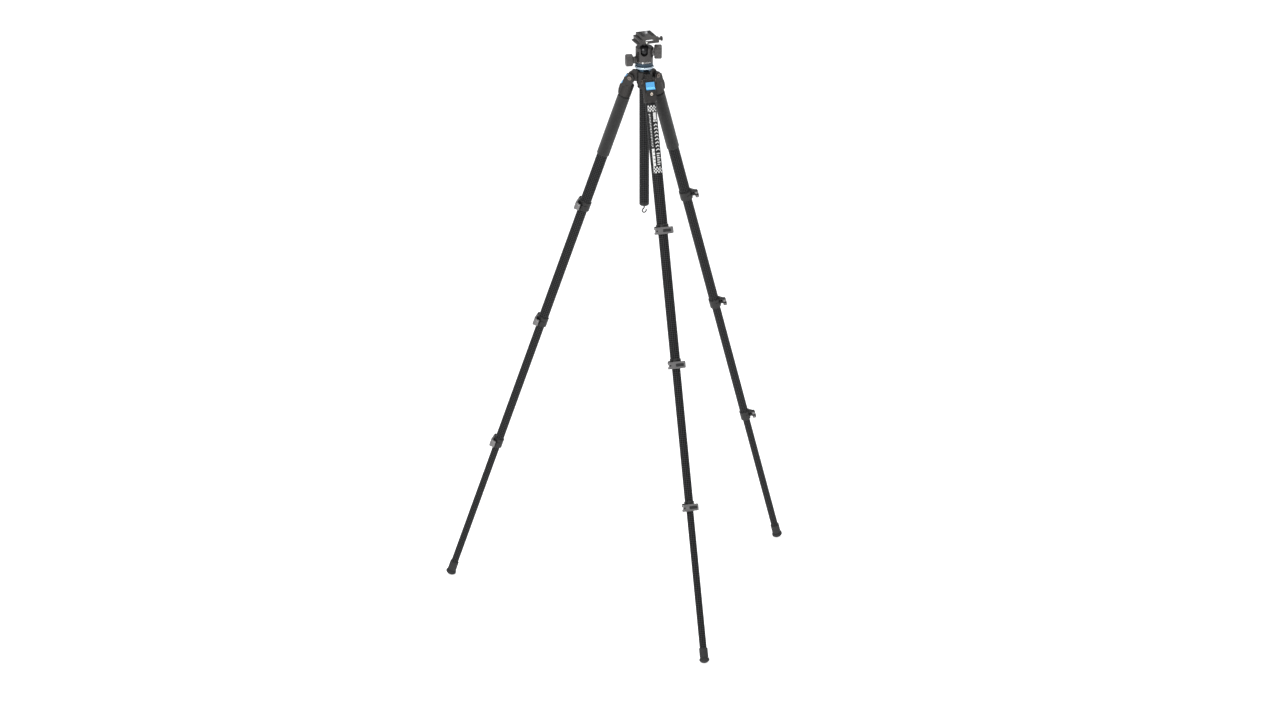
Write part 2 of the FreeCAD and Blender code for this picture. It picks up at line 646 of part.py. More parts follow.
def foot(leg):
    """A rubber foot glued round the last tube, with a flared rim and a round sole."""
    name = f"{leg}_foot"
    neck = "(tube_dia_4 / 2 + foot_wall)"
    rim = "foot_rim_dia / 2"
    drop = "sqrt(sole_radius * sole_radius - foot_rim_dia * foot_rim_dia / 4)"
    body = spindle(name, [
        ("0", "-sole_radius"), ("0", "0", 1), (rim, f"-{drop}"), (rim, f"(2.6 - {drop})"),
        (f"({neck} + 0.6)", f"(5.6 - {drop})"), (f"({neck} - 0.5)", f"(6.1 - {drop})"),
        (f"({neck} - 0.5)", f"(7.4 - {drop})"), (neck, f"(8 - {drop})"),
        (neck, "foot_length - fine_bevel"), (f"({neck} - fine_bevel)", "foot_length"),
        ("tube_dia_4 / 2", "foot_length"), ("tube_dia_4 / 2", "foot_length - foot_cup"),
        ("0", "foot_length - foot_cup")])
    node(body, name, on_leg(leg, "sole_at"))


# ---- spider and column -----------------------------------------------------------------

def spider():
    """The spider: a hub that guides the column, three arms, and a split threaded neck."""
    body = new_body("spider")
    bore = "(column_dia / 2 + run_gap)"
    neck = "(lock_ring_dia / 2 - neck_inset)"
    turned(body, draw(new_sketch(body, "front"), [
        (bore, "hub_top"), (bore, "-(hub_bottom + lock_ring_height - 1)"),
        (neck, "-(hub_bottom + lock_ring_height - 1)"), (neck, "-hub_bottom"),
        ("(hub_radius - bevel)", "-hub_bottom"), ("hub_radius", "-(hub_bottom - bevel)"),
        ("hub_radius", "(hub_top - 2 * bevel)"), ("(hub_radius - 2 * bevel)", "hub_top")]))
    profile = new_sketch(body, "front")
    tall = "(hub_top - bevel)"
    root = "(hub_radius - 3)"
    draw(profile, [
        (root, "-arm_radius"), ("hinge_radius", "-arm_radius"), ("hinge_radius", "0", 1),
        ("hinge_radius + arm_radius * cos(arm_crest * 1 deg)",
         "arm_radius * sin(arm_crest * 1 deg)"),
        ("hinge_radius - 3", tall), (root, tall)])
    arm = pad(body, profile, "arm_width")
    hinge = new_sketch(body, "front")
    draw_circle(hinge, "(bolt_dia / 2 + run_gap)", "hinge_radius")
    hole = pocket(body, hinge)
    repeat(body, [arm, hole], 3)
    node(body, "spider", upright(HINGE_HEIGHT, LEGS["right"]))


def hinge_bolts():
    """The three bolts that the legs turn on: two heads with hex sockets on each shank."""
    parts = []
    half = "(casting_width / 2 + side_gap / 2)"
    for leg, turn in LEGS.items():
        body = new_body(f"{leg}_hinge_bolt")
        section = new_sketch(body, "side")
        end = f"({half} + bolt_head)"
        draw(section, [
            (f"-{end}", "0"), (f"-{end}", "(bolt_head_dia / 2 - 0.6)"),
            (f"-({end} - 0.6)", "bolt_head_dia / 2"), (f"-{half}", "bolt_head_dia / 2"),
            (f"-{half}", "bolt_dia / 2"), (half, "bolt_dia / 2"), (half, "bolt_head_dia / 2"),
            (f"({end} - 0.6)", "bolt_head_dia / 2"), (end, "(bolt_head_dia / 2 - 0.6)"),
            (end, "0")])
        turned(body, section, "H_Axis")
        for side in (1, -1):
            socket = new_sketch(body, "front", f"{side} * ({end} + 0.1)")
            hexagon(socket, "bolt_hex")
            pocket(body, socket, "bolt_head - 0.6", flip=side < 0)
        x = f"hinge_radius * cos({turn} deg)"
        y = f"hinge_radius * sin({turn} deg)"
        body.setExpression(
            "Placement", bound(f"placement(vector({x}; {y}; 0); rotation({turn}; 0; 0))"))
        parts.append(body)
    node(group("hinge_bolts", parts), "hinge_bolts", upright(HINGE_HEIGHT))


def hexagon(sketch, flats):
    """A hexagonal socket's outline about the sketch's origin."""
    corner = f"({flats} / 2 / cos(30 deg))"
    draw(sketch, [
        (f"{corner} * cos({60 * n} deg)", f"{corner} * sin({60 * n} deg)") for n in range(6)])


def column_lock_ring():
    """The threaded ring that squeezes the hub's neck on the column."""
    outer = "lock_ring_dia / 2"
    inner = "(lock_ring_dia / 2 - neck_inset + run_gap)"
    top = "-(hub_bottom + side_gap)"
    low = "-(hub_bottom + side_gap + lock_ring_height)"
    lip = "(column_dia / 2 + side_gap)"
    body = spindle("column_lock_ring", [
        (inner, top), (outer, top), (outer, f"({low} + 1.2)"), (f"({outer} - 1.2)", low),
        (lip, low), (lip, f"({low} + 1)"), (inner, f"({low} + 1)")])
    node(body, "column_lock_ring", upright(HINGE_HEIGHT))


def column_bottom():
    return "(column_top - column_length)"


def column_tube():
    """The centre column's carbon tube."""
    body = tube("column_tube", "column_dia / 2", "(column_dia / 2 - tube_wall)",
                "column_top", column_bottom())
    node(body, "column_tube", upright(HINGE_HEIGHT))


def column_disc():
    """The disc on the column's top: a bright rim on a tapered underside, and a stud."""
    rim = "disc_dia / 2"
    spigot = "(column_dia / 2 - tube_wall)"
    low = "(hub_top + side_gap)"
    top = "(disc_at + disc_height)"
    body = spindle("column_disc", [
        ("0", "(column_top - plug_depth)"), (spigot, "(column_top - plug_depth)"), (spigot, low), ("disc_neck_dia / 2", low), (f"({rim} - bevel)", "disc_at"),
        (rim, "(disc_at + 0.6)"), (rim, f"({top} - fine_bevel)"),
        (f"({rim} - fine_bevel)", top), ("stud_dia / 2", top),
        ("stud_dia / 2", f"({top} + stud_height)"), ("0", f"({top} + stud_height)")])
    node(body, "column_disc", upright(HINGE_HEIGHT))


def column_cap():
    """The cap in the column's lower end, which the weight hook turns in."""
    outer = "column_dia / 2"
    inner = "(column_dia / 2 - tube_wall)"
    shank = "(hook_rod / 2 + run_gap)"
    low = f"({column_bottom()} - cap_height)"
    top = f"({column_bottom()} + cap_height)"
    body = spindle("column_cap", [
        (shank, low), (f"({outer} - 2.5)", low), (outer, f"({low} + 2.5)"),
        (outer, column_bottom()), (inner, column_bottom()), (inner, top), (shank, top)])
    node(body, "column_cap", upright(HINGE_HEIGHT))


def weight_hook():
    """The wire hook that a bag hangs from: a shank with a head, and a bend under it."""
    body = new_body("weight_hook")
    start = "(2 * cap_height + side_gap)"
    knee = "(-hook_drop + 2 * hook_radius * sin(60 deg))"
    spine = new_sketch(body, "front")
    draw(spine, [
        ("0", start), ("0", knee), ("-hook_radius", knee, -1),
        ("-hook_radius / 2", f"({knee} - hook_radius * sin(60 deg))"),
        ("0", "-hook_drop", 1), ("hook_radius", "-hook_drop"),
        ("hook_radius", "(hook_point - hook_drop)")], closed=False)
    wire = new_sketch(body, "top", start)
    draw_circle(wire, "hook_rod / 2")
    pipe = body.newObject("PartDesign::AdditivePipe", "weight_hook_wire")
    pipe.Profile = wire
    pipe.Spine = spine
    body.Tip = pipe
    doc.recompute()
    head = new_sketch(body, "top", start)
    draw_circle(head, "hook_rod")
    pad(body, head, "hook_head", both=False)
    node(body, "weight_hook", upright(f"({HINGE_HEIGHT} + {column_bottom()} - cap_height)"))


# ---- ball head -------------------------------------------------------------------------

def panning_base():
    """The base that stays on the column: a dark rim and a boss that the housing turns on."""
    rim = "base_dia / 2"
    boss = "base_boss_dia / 2"
    tall = "(base_height + base_boss_height)"
    body = spindle("panning_base", [
        ("stud_dia / 2", "0"), (rim, "0"), (rim, "(base_height - fine_bevel)"),
        (f"({rim} - fine_bevel)", "base_height"), (boss, "base_height"),
        (boss, f"({tall} - bevel)"), (f"({boss} - bevel)", tall), ("0", tall),
        ("0", "(stud_height + 1)"), ("stud_dia / 2", "(stud_height + 1)")])
    node(body, "panning_base", upright(BASE_AT))


def ball_housing():
    """The housing that holds the ball, with a drop notch in its rim and a boss for each
    knob's thread."""
    body = new_body("ball_housing")
    outer = "housing_dia / 2"
    bore = "(base_boss_dia / 2 + run_gap)"
    cup = "(ball_dia / 2 + run_gap)"
    low = "side_gap"
    mouth = f"sqrt({cup} * {cup} - (housing_height - ball_at) * (housing_height - ball_at))"
    turned(body, draw(new_sketch(body, "front"), [
        (bore, low), (f"({outer} - fine_bevel)", low), (outer, "(fine_bevel + side_gap)"),
        (outer, "(housing_height - bevel)"), (f"({outer} - bevel)", "housing_height"),
        (mouth, "housing_height"),
        ("0", "ball_at", -1), (bore, f"(ball_at - sqrt({cup} * {cup} - {bore} * {bore}))")]))
    boss(body, "ball_knob_at", "0", "ball_knob_dia * boss_share")
    boss(body, "pan_knob_at", "knob_turn", "pan_knob_dia * boss_share")
    cut_notch(body)
    cut_groove(body)
    node(body, "ball_housing", upright(HOUSING_AT, "head_turn"))


def cut_notch(body):
    """The notch that the ball's stem drops into, with a round floor."""
    half = "notch_width / 2"
    floor = "(housing_height - notch_depth)"
    notch = draw(new_sketch(body, "front"), [
        (f"-({half})", "housing_height + 1"), (f"-({half})", floor),
        ("0", floor, 1), (half, floor), (half, "housing_height + 1")])
    pocket(body, notch, "housing_dia", flip=True)


def cut_groove(body):
    """The upright relief groove on the housing's side."""
    edge = "groove_width / 2"
    low = f"(groove_low + {edge})"
    high = f"(groove_high - {edge})"
    groove = new_sketch(body, "side")
    draw(groove, [(edge, low), (edge, high), ("0", high, 1), (f"-({edge})", high),
                  (f"-({edge})", low), ("0", low, 1)])
    start = "(housing_dia / 2 - groove_depth)"
    groove.setExpression("AttachmentOffset", bound(turned_offset("groove_turn", start)))
    pocket(body, groove, "groove_depth + 1", flip=True)


def boss(body, height, turn, radius):
    """A short boss on the housing round a knob's shaft, bored for the shaft."""
    start = "(housing_dia / 2 - boss_root)"
    around = new_sketch(body, "side", start)
    draw_circle(around, radius, "0", height)
    around.setExpression(
        "AttachmentOffset", bound(turned_offset(turn, start)))
    pad(body, around, "(boss_root + boss_rise)", both=False)
    shaft = new_sketch(body, "side")
    draw_circle(shaft, "(knob_shaft_dia / 2 + run_gap)", "0", height)
    shaft.setExpression("AttachmentOffset", bound(turned_offset(turn, "0")))
    pocket(body, shaft, "housing_dia", flip=True)


def turned_offset(turn, out):
    """An offset that turns a sketch on the side plane about the upright axis, then moves it
    out along its own normal."""
    return (f"placement(vector({out} * sin({turn} * 1 deg); 0; {out} * cos({turn} * 1 deg));"
            f" vector(0; 1; 0); {turn})")


def knob(name, reach, grip, diameter, height, turn, tip):
    """A knob: a gripped barrel with a bevelled face and a shaft to the inside."""
    body = new_body(name)
    section = new_sketch(body, "front")
    outer = f"({diameter} / 2)"
    back = f"({reach} - {grip})"
    hub = "(housing_dia / 2 + boss_rise + side_gap)"
    draw(section, [
        (tip, "0"), (tip, "knob_shaft_dia / 2"), (hub, "knob_shaft_dia / 2"),
        (hub, f"({outer} * 0.58)"), (back, f"({outer} * 0.58)"),
        (back, f"({outer} - 1.6)"), (f"({back} + 1.6)", outer), (f"({reach} - 1.6)", outer),
        (reach, f"({outer} - 1.6)"), (reach, f"({outer} * 0.62)"),
        (f"({reach} - 1)", f"({outer} * 0.56)"), (f"({reach} - 1)", "0")])
    turned(body, section, "H_Axis")
    node(body, name, upright(f"({HOUSING_AT} + {height})", turn))


def ball_seat():
    """The nylon cup that the ball-lock presses up under the ball."""
    outer = "(base_boss_dia / 2 - side_gap)"
    cup = "(ball_dia / 2 + side_gap)"
    inner = "4"
    low = "(base_boss_height + side_gap)"
    body = spindle("ball_seat", [
        (inner, low), (outer, low), (outer, f"(ball_at - sqrt({cup} * {cup} - {outer} * {outer}))"),
        ("0", "ball_at", -1), (inner, f"(ball_at - sqrt({cup} * {cup} - {inner} * {inner}))")])
    node(body, "ball_seat", upright(HOUSING_AT, "head_turn"))


def ball():
    """The ball, with the stem that carries the clamp."""
    radius = "ball_dia / 2"
    stem = "stem_dia / 2"
    meet = f"sqrt({radius} * {radius} - {stem} * {stem})"
    body = spindle("ball", [
        ("0", f"-({radius})"), ("0", "0", 1), (stem, meet), (stem, "stem_top"),
        ("0", "stem_top")])
    node(body, "ball", upright(BALL_HEIGHT, "plate_turn"))


def jaw_flank():
    """The dovetail's flank: how far in its upper and its lower end stand from the middle."""
    wide = "(plate_width / 2 + side_gap)"
    narrow = "(plate_width / 2 - dovetail_rise + side_gap)"
    return narrow, wide


def clamp_body():
    """The clamp's body: a floor under the plate, and the fixed jaw on its left."""
    narrow, wide = jaw_flank()
    outer = "(plate_width / 2 + jaw_wall)"
    flank_low = "(clamp_floor + side_gap + dovetail_foot)"
    flank_top = f"({flank_low} + dovetail_rise)"
    body = new_body("clamp_body")
    section = new_sketch(body, "front")
    draw(section, [
        (f"-({outer} - 6)", "stem_top"), ("jaw_split", "stem_top"),
        ("jaw_split", "clamp_floor"), (f"-{wide}", "clamp_floor"), (f"-{wide}", flank_low),
        (f"-{narrow}", flank_top), (f"-{narrow}", "jaw_top"), (f"-({outer} - bevel)", "jaw_top"),
        (f"-{outer}", "(jaw_top - bevel)"), (f"-({outer} - bevel)", "(stem_top + 4)"),
        (f"-({outer} + jaw_tongue)", "(stem_top + 2.2)"),
        (f"-({outer} + jaw_tongue)", "(stem_top + 0.4)")])
    pad(body, section, "clamp_length")
    trim_ends(body)
    screw = new_sketch(body, "side")
    draw_circle(screw, "(clamp_screw_dia / 2 + run_gap)", "0", "clamp_knob_height")
    pocket(body, screw, "plate_width", flip=True)
    level = new_sketch(body, "front", "clamp_length / 2 - level_depth")
    draw_circle(level, "level_dia / 2", "-level_side", "(stem_top + level_rise)")
    pocket(body, level, "2 * level_depth", flip=True)
    node(body, "clamp_body", on_clamp(BALL_HEIGHT))


def trim_ends(body):
    """Bevels the underside at both ends, where the clamp tapers to the stem."""
    low = "(stem_top - 1)"
    end = "(clamp_length / 2 + 1)"
    start = "(clamp_length / 2 - 5)"
    for side in ("", "-"):
        cut = new_sketch(body, "side")
        draw(cut, [(side + end, low), (side + start, low), (side + end, "(stem_top + 2)")])
        pocket(body, cut)


def clamp_jaw():
    """The moving jaw, which the clamp's knob draws in against the plate."""
    narrow, wide = jaw_flank()
    outer = "(plate_width / 2 + jaw_wall)"
    flank_low = "(clamp_floor + side_gap + dovetail_foot)"
    flank_top = f"({flank_low} + dovetail_rise)"
    body = new_body("clamp_jaw")
    section = new_sketch(body, "front")
    draw(section, [
        ("(jaw_split + side_gap)", "stem_top"), (f"({outer} - bevel)", "stem_top"),
        (outer, "(stem_top + bevel)"), (outer, "(jaw_top - bevel)"),
        (f"({outer} - bevel)", "jaw_top"),
        (narrow, "jaw_top"), (narrow, flank_top), (wide, flank_low), (wide, "clamp_floor"),
        ("(jaw_split + side_gap)", "clamp_floor")])
    pad(body, section, "clamp_length")
    trim_ends(body)
    screw = new_sketch(body, "side")
    draw_circle(screw, "(clamp_screw_dia / 2 + run_gap)", "0", "clamp_knob_height")
    pocket(body, screw)
    node(body, "clamp_jaw", on_clamp(BALL_HEIGHT))


def clamp_knob():
    """The clamp's spool-shaped knob on its screw."""
    body = new_body("clamp_knob")
    start = "(plate_width / 2 + jaw_wall + side_gap)"
    end = f"({start} + clamp_knob_length)"
    flange = "clamp_knob_dia / 2"
    waist = "(clamp_knob_dia / 2 - 2.6)"
    section = new_sketch(body, "front")
    draw(section, [
        ("4", "0"), ("4", "clamp_screw_dia / 2"), (start, "clamp_screw_dia / 2"),
        (start, "(clamp_screw_dia / 2 + 1.6)"), (f"({start} + 1.5)", "(clamp_screw_dia / 2 + 1.6)"),
        (f"({start} + 1.5)", flange), (f"({start} + 4.5)", flange), (f"({start} + 5.3)", waist),
        (f"({end} - 4)", waist), (f"({end} - 3.2)", flange), (f"({end} - 0.6)", flange),
        (end, f"({flange} - 0.6)"), (end, "0")])
    turned(body, section, "H_Axis")
    node(body, "clamp_knob", on_clamp(f"({BALL_HEIGHT} + clamp_knob_height)"))


def quick_plate():
    """The quick-release plate: a dovetail foot, a flat top, and a well for the screw's head."""
    body = new_body("quick_release_plate")
    low = "(clamp_floor + side_gap)"
    half = "plate_width / 2"
    neck = "(plate_width / 2 - dovetail_rise)"
    step = "(jaw_top + 0.7)"
    flank = f"({low} + dovetail_foot)"
    corners = [(half, low), (half, flank), (neck, f"({flank} + dovetail_rise)"),
               (neck, step), (half, step), (half, "(plate_top - bevel)"),
               (f"({half} - bevel)", "plate_top")]
    left = [(f"-({x})", y) for x, y in reversed(corners)]
    pad(body, draw(new_sketch(body, "front"), corners + left), "plate_length")
    well = new_sketch(body, "top", f"({low} - 0.1)")
    draw_circle(well, "(camera_head_dia / 2 + side_gap)")
    pocket(body, well, "(plate_well + 0.1)", flip=True)
    hole = new_sketch(body, "top")
    draw_circle(hole, "(camera_screw_dia / 2 + run_gap)")
    pocket(body, hole)
    scoop = new_sketch(body, "front", "plate_length / 2 + 0.1")
    side = "(scoop_width / 2)"
    under = f"({low} - 0.1)"
    over = f"({low} + scoop_height)"
    draw(scoop, [(f"-{side}", under), (side, under), (side, over), (f"-{side}", over)])
    pocket(body, scoop, "scoop_depth")
    node(body, "quick_release_plate", on_clamp(BALL_HEIGHT))


def camera_screw():
    """The screw that the camera is held with: a head in the plate's well, a thinner neck,
    and the thread above the plate."""
    radius = "camera_screw_dia / 2"
    neck = f"({radius} - camera_neck)"
    head = "camera_head_dia / 2"
    head_top = "(clamp_floor + plate_well)"
    head_low = f"({head_top} - camera_head)"
    thread = "(plate_top + side_gap)"
    top = "(plate_top + camera_screw_length)"
    body = spindle("camera_screw", [
        ("0", head_low), (f"({head} - 0.6)", head_low), (head, f"({head_low} + 0.6)"),
        (head, head_top), (neck, head_top), (neck, thread), (radius, thread),
        (radius, f"({top} - fine_bevel)"), (f"({radius} - fine_bevel)", top), ("0", top)])
    node(body, "camera_screw", on_clamp(BALL_HEIGHT))


def bubble_level():
    """The small round level set into the clamp's front."""
    body = new_body("bubble_level")
    disc = new_sketch(body, "front", "clamp_length / 2 - level_depth")
    draw_circle(disc, "level_dia / 2", "-level_side", "(stem_top + level_rise)")
    pad(body, disc, "(level_depth - 0.2)", both=False)
    node(body, "bubble_level", on_clamp(BALL_HEIGHT))


def build():
    """Builds every piece, from the feet's legs up to the plate."""
    fill_sheet()
    for leg in LEGS:
        leg_casting(leg)
        stop_tab(leg)
        for number in (1, 2, 3, 4):
            leg_tube(leg, number)
        for lock in LOCKS:
            lock_collar(leg, lock)
            lock_lever(leg, lock)
        foot(leg)
    for leg in GRIPPED:
        foam_grip(leg)
    spider()
    hinge_bolts()
    column_lock_ring()
    column_tube()
    column_disc()
    column_cap()
    weight_hook()
    panning_base()
    ball_housing()
    ball_seat()
    ball()
    knob("ball_lock_knob", "ball_knob_reach", "ball_knob_grip", "ball_knob_dia",
         "ball_knob_at", "head_turn", "(ball_dia / 2 + side_gap)")
    knob("pan_lock_knob", "pan_knob_reach", "pan_knob_grip", "pan_knob_dia",
         "pan_knob_at", "(head_turn + knob_turn)", "(base_boss_dia / 2 + side_gap)")
    clamp_body()
    clamp_jaw()
    clamp_knob()
    quick_plate()
    camera_screw()
    bubble_level()
    doc.recompute()


def check_and_write():
    """Refuses a model with a failed feature or a broken solid, then writes each piece."""
    for item in doc.Objects:
        if {"Invalid", "Error"} & set(item.State):
            raise RuntimeError(f"{item.Label} failed: {item.State}")
    for item in nodes:
        if item.Shape.isNull() or not item.Shape.isValid():
            raise RuntimeError(f"{item.Label} has no valid shape")
    os.makedirs("parts", exist_ok=True)
    for item in nodes:
        item.Shape.exportStep(f"parts/{item.Label}.step")
    print(len(nodes), "pieces written")


build()
check_and_write()
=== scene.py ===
import json
import math

import bmesh
import bpy
from mathutils import Matrix, Vector
from mathutils.bvhtree import BVHTree


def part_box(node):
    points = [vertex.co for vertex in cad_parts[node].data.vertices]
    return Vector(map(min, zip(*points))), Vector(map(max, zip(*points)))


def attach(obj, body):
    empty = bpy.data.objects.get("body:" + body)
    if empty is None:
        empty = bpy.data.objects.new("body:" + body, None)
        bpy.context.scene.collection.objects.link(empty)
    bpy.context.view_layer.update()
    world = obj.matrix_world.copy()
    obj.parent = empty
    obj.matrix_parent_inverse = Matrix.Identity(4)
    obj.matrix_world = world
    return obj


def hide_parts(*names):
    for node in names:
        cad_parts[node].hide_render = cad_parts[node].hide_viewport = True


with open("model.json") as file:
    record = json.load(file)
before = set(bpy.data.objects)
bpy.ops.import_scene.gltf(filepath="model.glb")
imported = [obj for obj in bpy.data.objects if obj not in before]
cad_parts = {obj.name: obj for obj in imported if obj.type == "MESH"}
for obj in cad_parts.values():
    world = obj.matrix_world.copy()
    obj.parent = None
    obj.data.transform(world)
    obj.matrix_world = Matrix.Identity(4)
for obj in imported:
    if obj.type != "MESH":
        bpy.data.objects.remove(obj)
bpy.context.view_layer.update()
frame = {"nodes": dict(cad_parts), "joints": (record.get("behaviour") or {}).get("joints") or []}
nodes = frame["nodes"]
joints = {joint["name"]: joint for joint in frame["joints"]}
LEGS = ("front", "right", "left")


# ---- studio ----
# A tripod for a camera, standing on a seamless pale floor in soft light from all round.
# The camera stands far off and looks a little down, so that the legs keep their taper.

look_at = Vector((0, 0, 0.7))
azimuth = math.radians(-17.26)
elevation = math.radians(20.575)
distance = 20.365
back = Vector((math.sin(azimuth) * math.cos(elevation),
               -math.cos(azimuth) * math.cos(elevation),
               math.sin(elevation)))
across = Vector((math.cos(azimuth), math.sin(azimuth), 0))
up = back.cross(across)
camera = bpy.data.objects.new("camera", bpy.data.cameras.new("camera"))
camera.data.lens = 256.6
camera.data.clip_end = 100
camera.location = look_at + back * distance - across * 0.00935 - up * 0.1347
camera.rotation_euler = back.to_track_quat("Z", "Y").to_euler()
bpy.context.scene.collection.objects.link(camera)
bpy.context.scene.camera = camera
bpy.context.scene.view_settings.view_transform = "Standard"

room = bpy.data.worlds.new("room")
room.use_nodes = True
room.node_tree.nodes["Background"].inputs["Color"].default_value = (0.97, 0.985, 1, 1)
room.node_tree.nodes["Background"].inputs["Strength"].default_value = 0.5
bpy.context.scene.world = room


def soft_light(name, place, target, size, power):
    lamp = bpy.data.objects.new(name, bpy.data.lights.new(name, "AREA"))
    lamp.data.size = size
    lamp.data.energy = power
    lamp.location = place
    lamp.rotation_euler = (Vector(place) - Vector(target)).to_track_quat("Z", "Y").to_euler()
    bpy.context.scene.collection.objects.link(lamp)


soft_light("key_light", (-2.6, -3.2, 3.4), (0, 0, 0.8), 1.6, 110)
soft_light("top_light", (0.4, 0.6, 4.2), (0, 0, 0.6), 2.6, 60)


def bare_finish(name, colour, roughness, metallic=0.0):
    """A material whose shader holds what is the same all over the surface."""
    finish = bpy.data.materials.new(name)
    finish.use_nodes = True
    shader = finish.node_tree.nodes["Principled BSDF"]
    shader.inputs["Base Color"].default_value = (*colour, 1)
    shader.inputs["Roughness"].default_value = roughness
    shader.inputs["Metallic"].default_value = metallic
    finish.diffuse_color = (*colour, 1)
    return finish, finish.node_tree, shader


floor_finish, _, floor_shader = bare_finish("studio_floor", (0.9, 0.9, 0.9), 0.9)
floor_shader.inputs["Specular IOR Level"].default_value = 0.1
floor_shader.inputs["Emission Color"].default_value = (1, 1, 1, 1)
floor_shader.inputs["Emission Strength"].default_value = 0.7
floor_mesh = bpy.data.meshes.new("floor")
floor_mesh.from_pydata([(-40, -40, 0), (40, -40, 0), (40, 40, 0), (-40, 40, 0)], [],
                       [(0, 1, 2, 3)])
floor_mesh.materials.append(floor_finish)
floor = bpy.data.objects.new("floor", floor_mesh)
bpy.context.scene.collection.objects.link(floor)


# ---- spider and leg castings ----
# The spider and the three leg tops are die-cast aluminium, shot-blasted and anodised
# a warm black. Each leg's fork turns on a bolt through the spider's arm.

def add_node(tree, kind, **values):
    """A node of a shader tree, with some of its inputs set or linked by name."""
    node = tree.nodes.new(kind)
    for name, value in values.items():
        socket = node.inputs[name.replace("_", " ")]
        if isinstance(value, bpy.types.NodeSocket):
            tree.links.new(value, socket)
        else:
            socket.default_value = value
    return node


def math_step(tree, operation, *values):
    """One step of arithmetic between numbers and other nodes' outputs."""
    node = tree.nodes.new("ShaderNodeMath")
    node.operation = operation
    for socket, value in zip(node.inputs, values):
        if isinstance(value, bpy.types.NodeSocket):
            tree.links.new(value, socket)
        else:
            socket.default_value = value
    return node.outputs[0]


def spread(tree, value, low, high):
    """Takes a pattern that runs from 0 to 1 to another range."""
    node = add_node(tree, "ShaderNodeMapRange", Value=value)
    node.inputs["To Min"].default_value = low
    node.inputs["To Max"].default_value = high
    return node.outputs["Result"]


def mixed(tree, share, first, second):
    """A colour between two others, by a share."""
    node = tree.nodes.new("ShaderNodeMix")
    node.data_type = "RGBA"
    for socket, value in ((node.inputs[0], share), (node.inputs[6], first),
                          (node.inputs[7], second)):
        if isinstance(value, bpy.types.NodeSocket):
            tree.links.new(value, socket)
        else:
            socket.default_value = value
    return node.outputs[2]


def shade(colour, factor):
    return (*(min(1, channel * factor) for channel in colour), 1)


def relieve(tree, shader, height, depth, strength=1.0):
    """Lets a pattern stand out of the surface by depth metres."""
    bump = add_node(tree, "ShaderNodeBump", Height=height, Distance=depth, Strength=strength)
    tree.links.new(bump.outputs["Normal"], shader.inputs["Normal"])


def blasted_metal(name, colour, roughness, metallic, grain=1400, depth=0.00004, patch=0.14):
    """Anodised metal: fine blasted grain, and a slow change of tone and gloss."""
    finish, tree, shader = bare_finish(name, colour, roughness, metallic)
    place = add_node(tree, "ShaderNodeTexCoord").outputs["Object"]
    cloud = add_node(tree, "ShaderNodeTexNoise", Vector=place, Scale=45, Detail=4).outputs["Fac"]
    blast = add_node(tree, "ShaderNodeTexNoise", Vector=place, Scale=grain,
                     Detail=2).outputs["Fac"]
    tone = mixed(tree, cloud, shade(colour, 1 - patch), shade(colour, 1 + patch))
    fleck = mixed(tree, spread(tree, blast, -0.25, 0.6), tone, shade(colour, 1.5))
    tree.links.new(fleck, shader.inputs["Base Color"])
    gloss = spread(tree, cloud, roughness - 0.08, roughness + 0.08)
    tree.links.new(gloss, shader.inputs["Roughness"])
    relieve(tree, shader, blast, depth)
    return finish


def paint(node, finish):
    """Gives a CAD piece its finish."""
    mesh = nodes[node].data
    mesh.materials.clear()
    mesh.materials.append(finish)


casting_black = blasted_metal("casting_black", (0.03, 0.0275, 0.0262), 0.46, 0.55, 1100, 0.00006)
paint("spider", casting_black)
for leg in LEGS:
    paint(f"{leg}_leg_casting", casting_black)


# ---- hinge bolts ----
# Each leg turns on a shouldered steel bolt with a hex socket at both ends, plated dark.

bolt_steel = blasted_metal("bolt_steel", (0.16, 0.135, 0.12), 0.34, 0.9, 2600, 0.00001)
paint("hinge_bolts", bolt_steel)


# ---- stop tabs ----
# A sprung aluminium tab sits in each casting and is pulled out to let the leg swing
# wider. It is anodised light blue, with a turned-up lip for the finger.

tab_blue = blasted_metal("tab_blue", (0.11, 0.42, 0.82), 0.38, 0.35, 2200, 0.00002, 0.06)
for leg in LEGS:
    paint(f"{leg}_stop_tab", tab_blue)


# ---- carbon tubes ----
# Four tubes a leg, each wound from woven carbon cloth and set in clear resin. The weave
# runs slantwise round the tube, so it shows as small lozenges that lie two ways; the tows of one
# way are painted dark and those of the other way light, a painted sheen.

def leg_place(leg):
    """A leg's own frame: the hinge, with X outwards, Y across and Z up the leg."""
    hinge = joints[f"{leg}_leg_hinge"]
    rise = Vector(joints[f"{leg}_section_2_slide"]["axis"])
    side = -Vector(hinge["axis"])
    place = Matrix((side.cross(rise), side, rise)).transposed().to_4x4()
    place.translation = Vector(hinge["pos_m"])
    return place


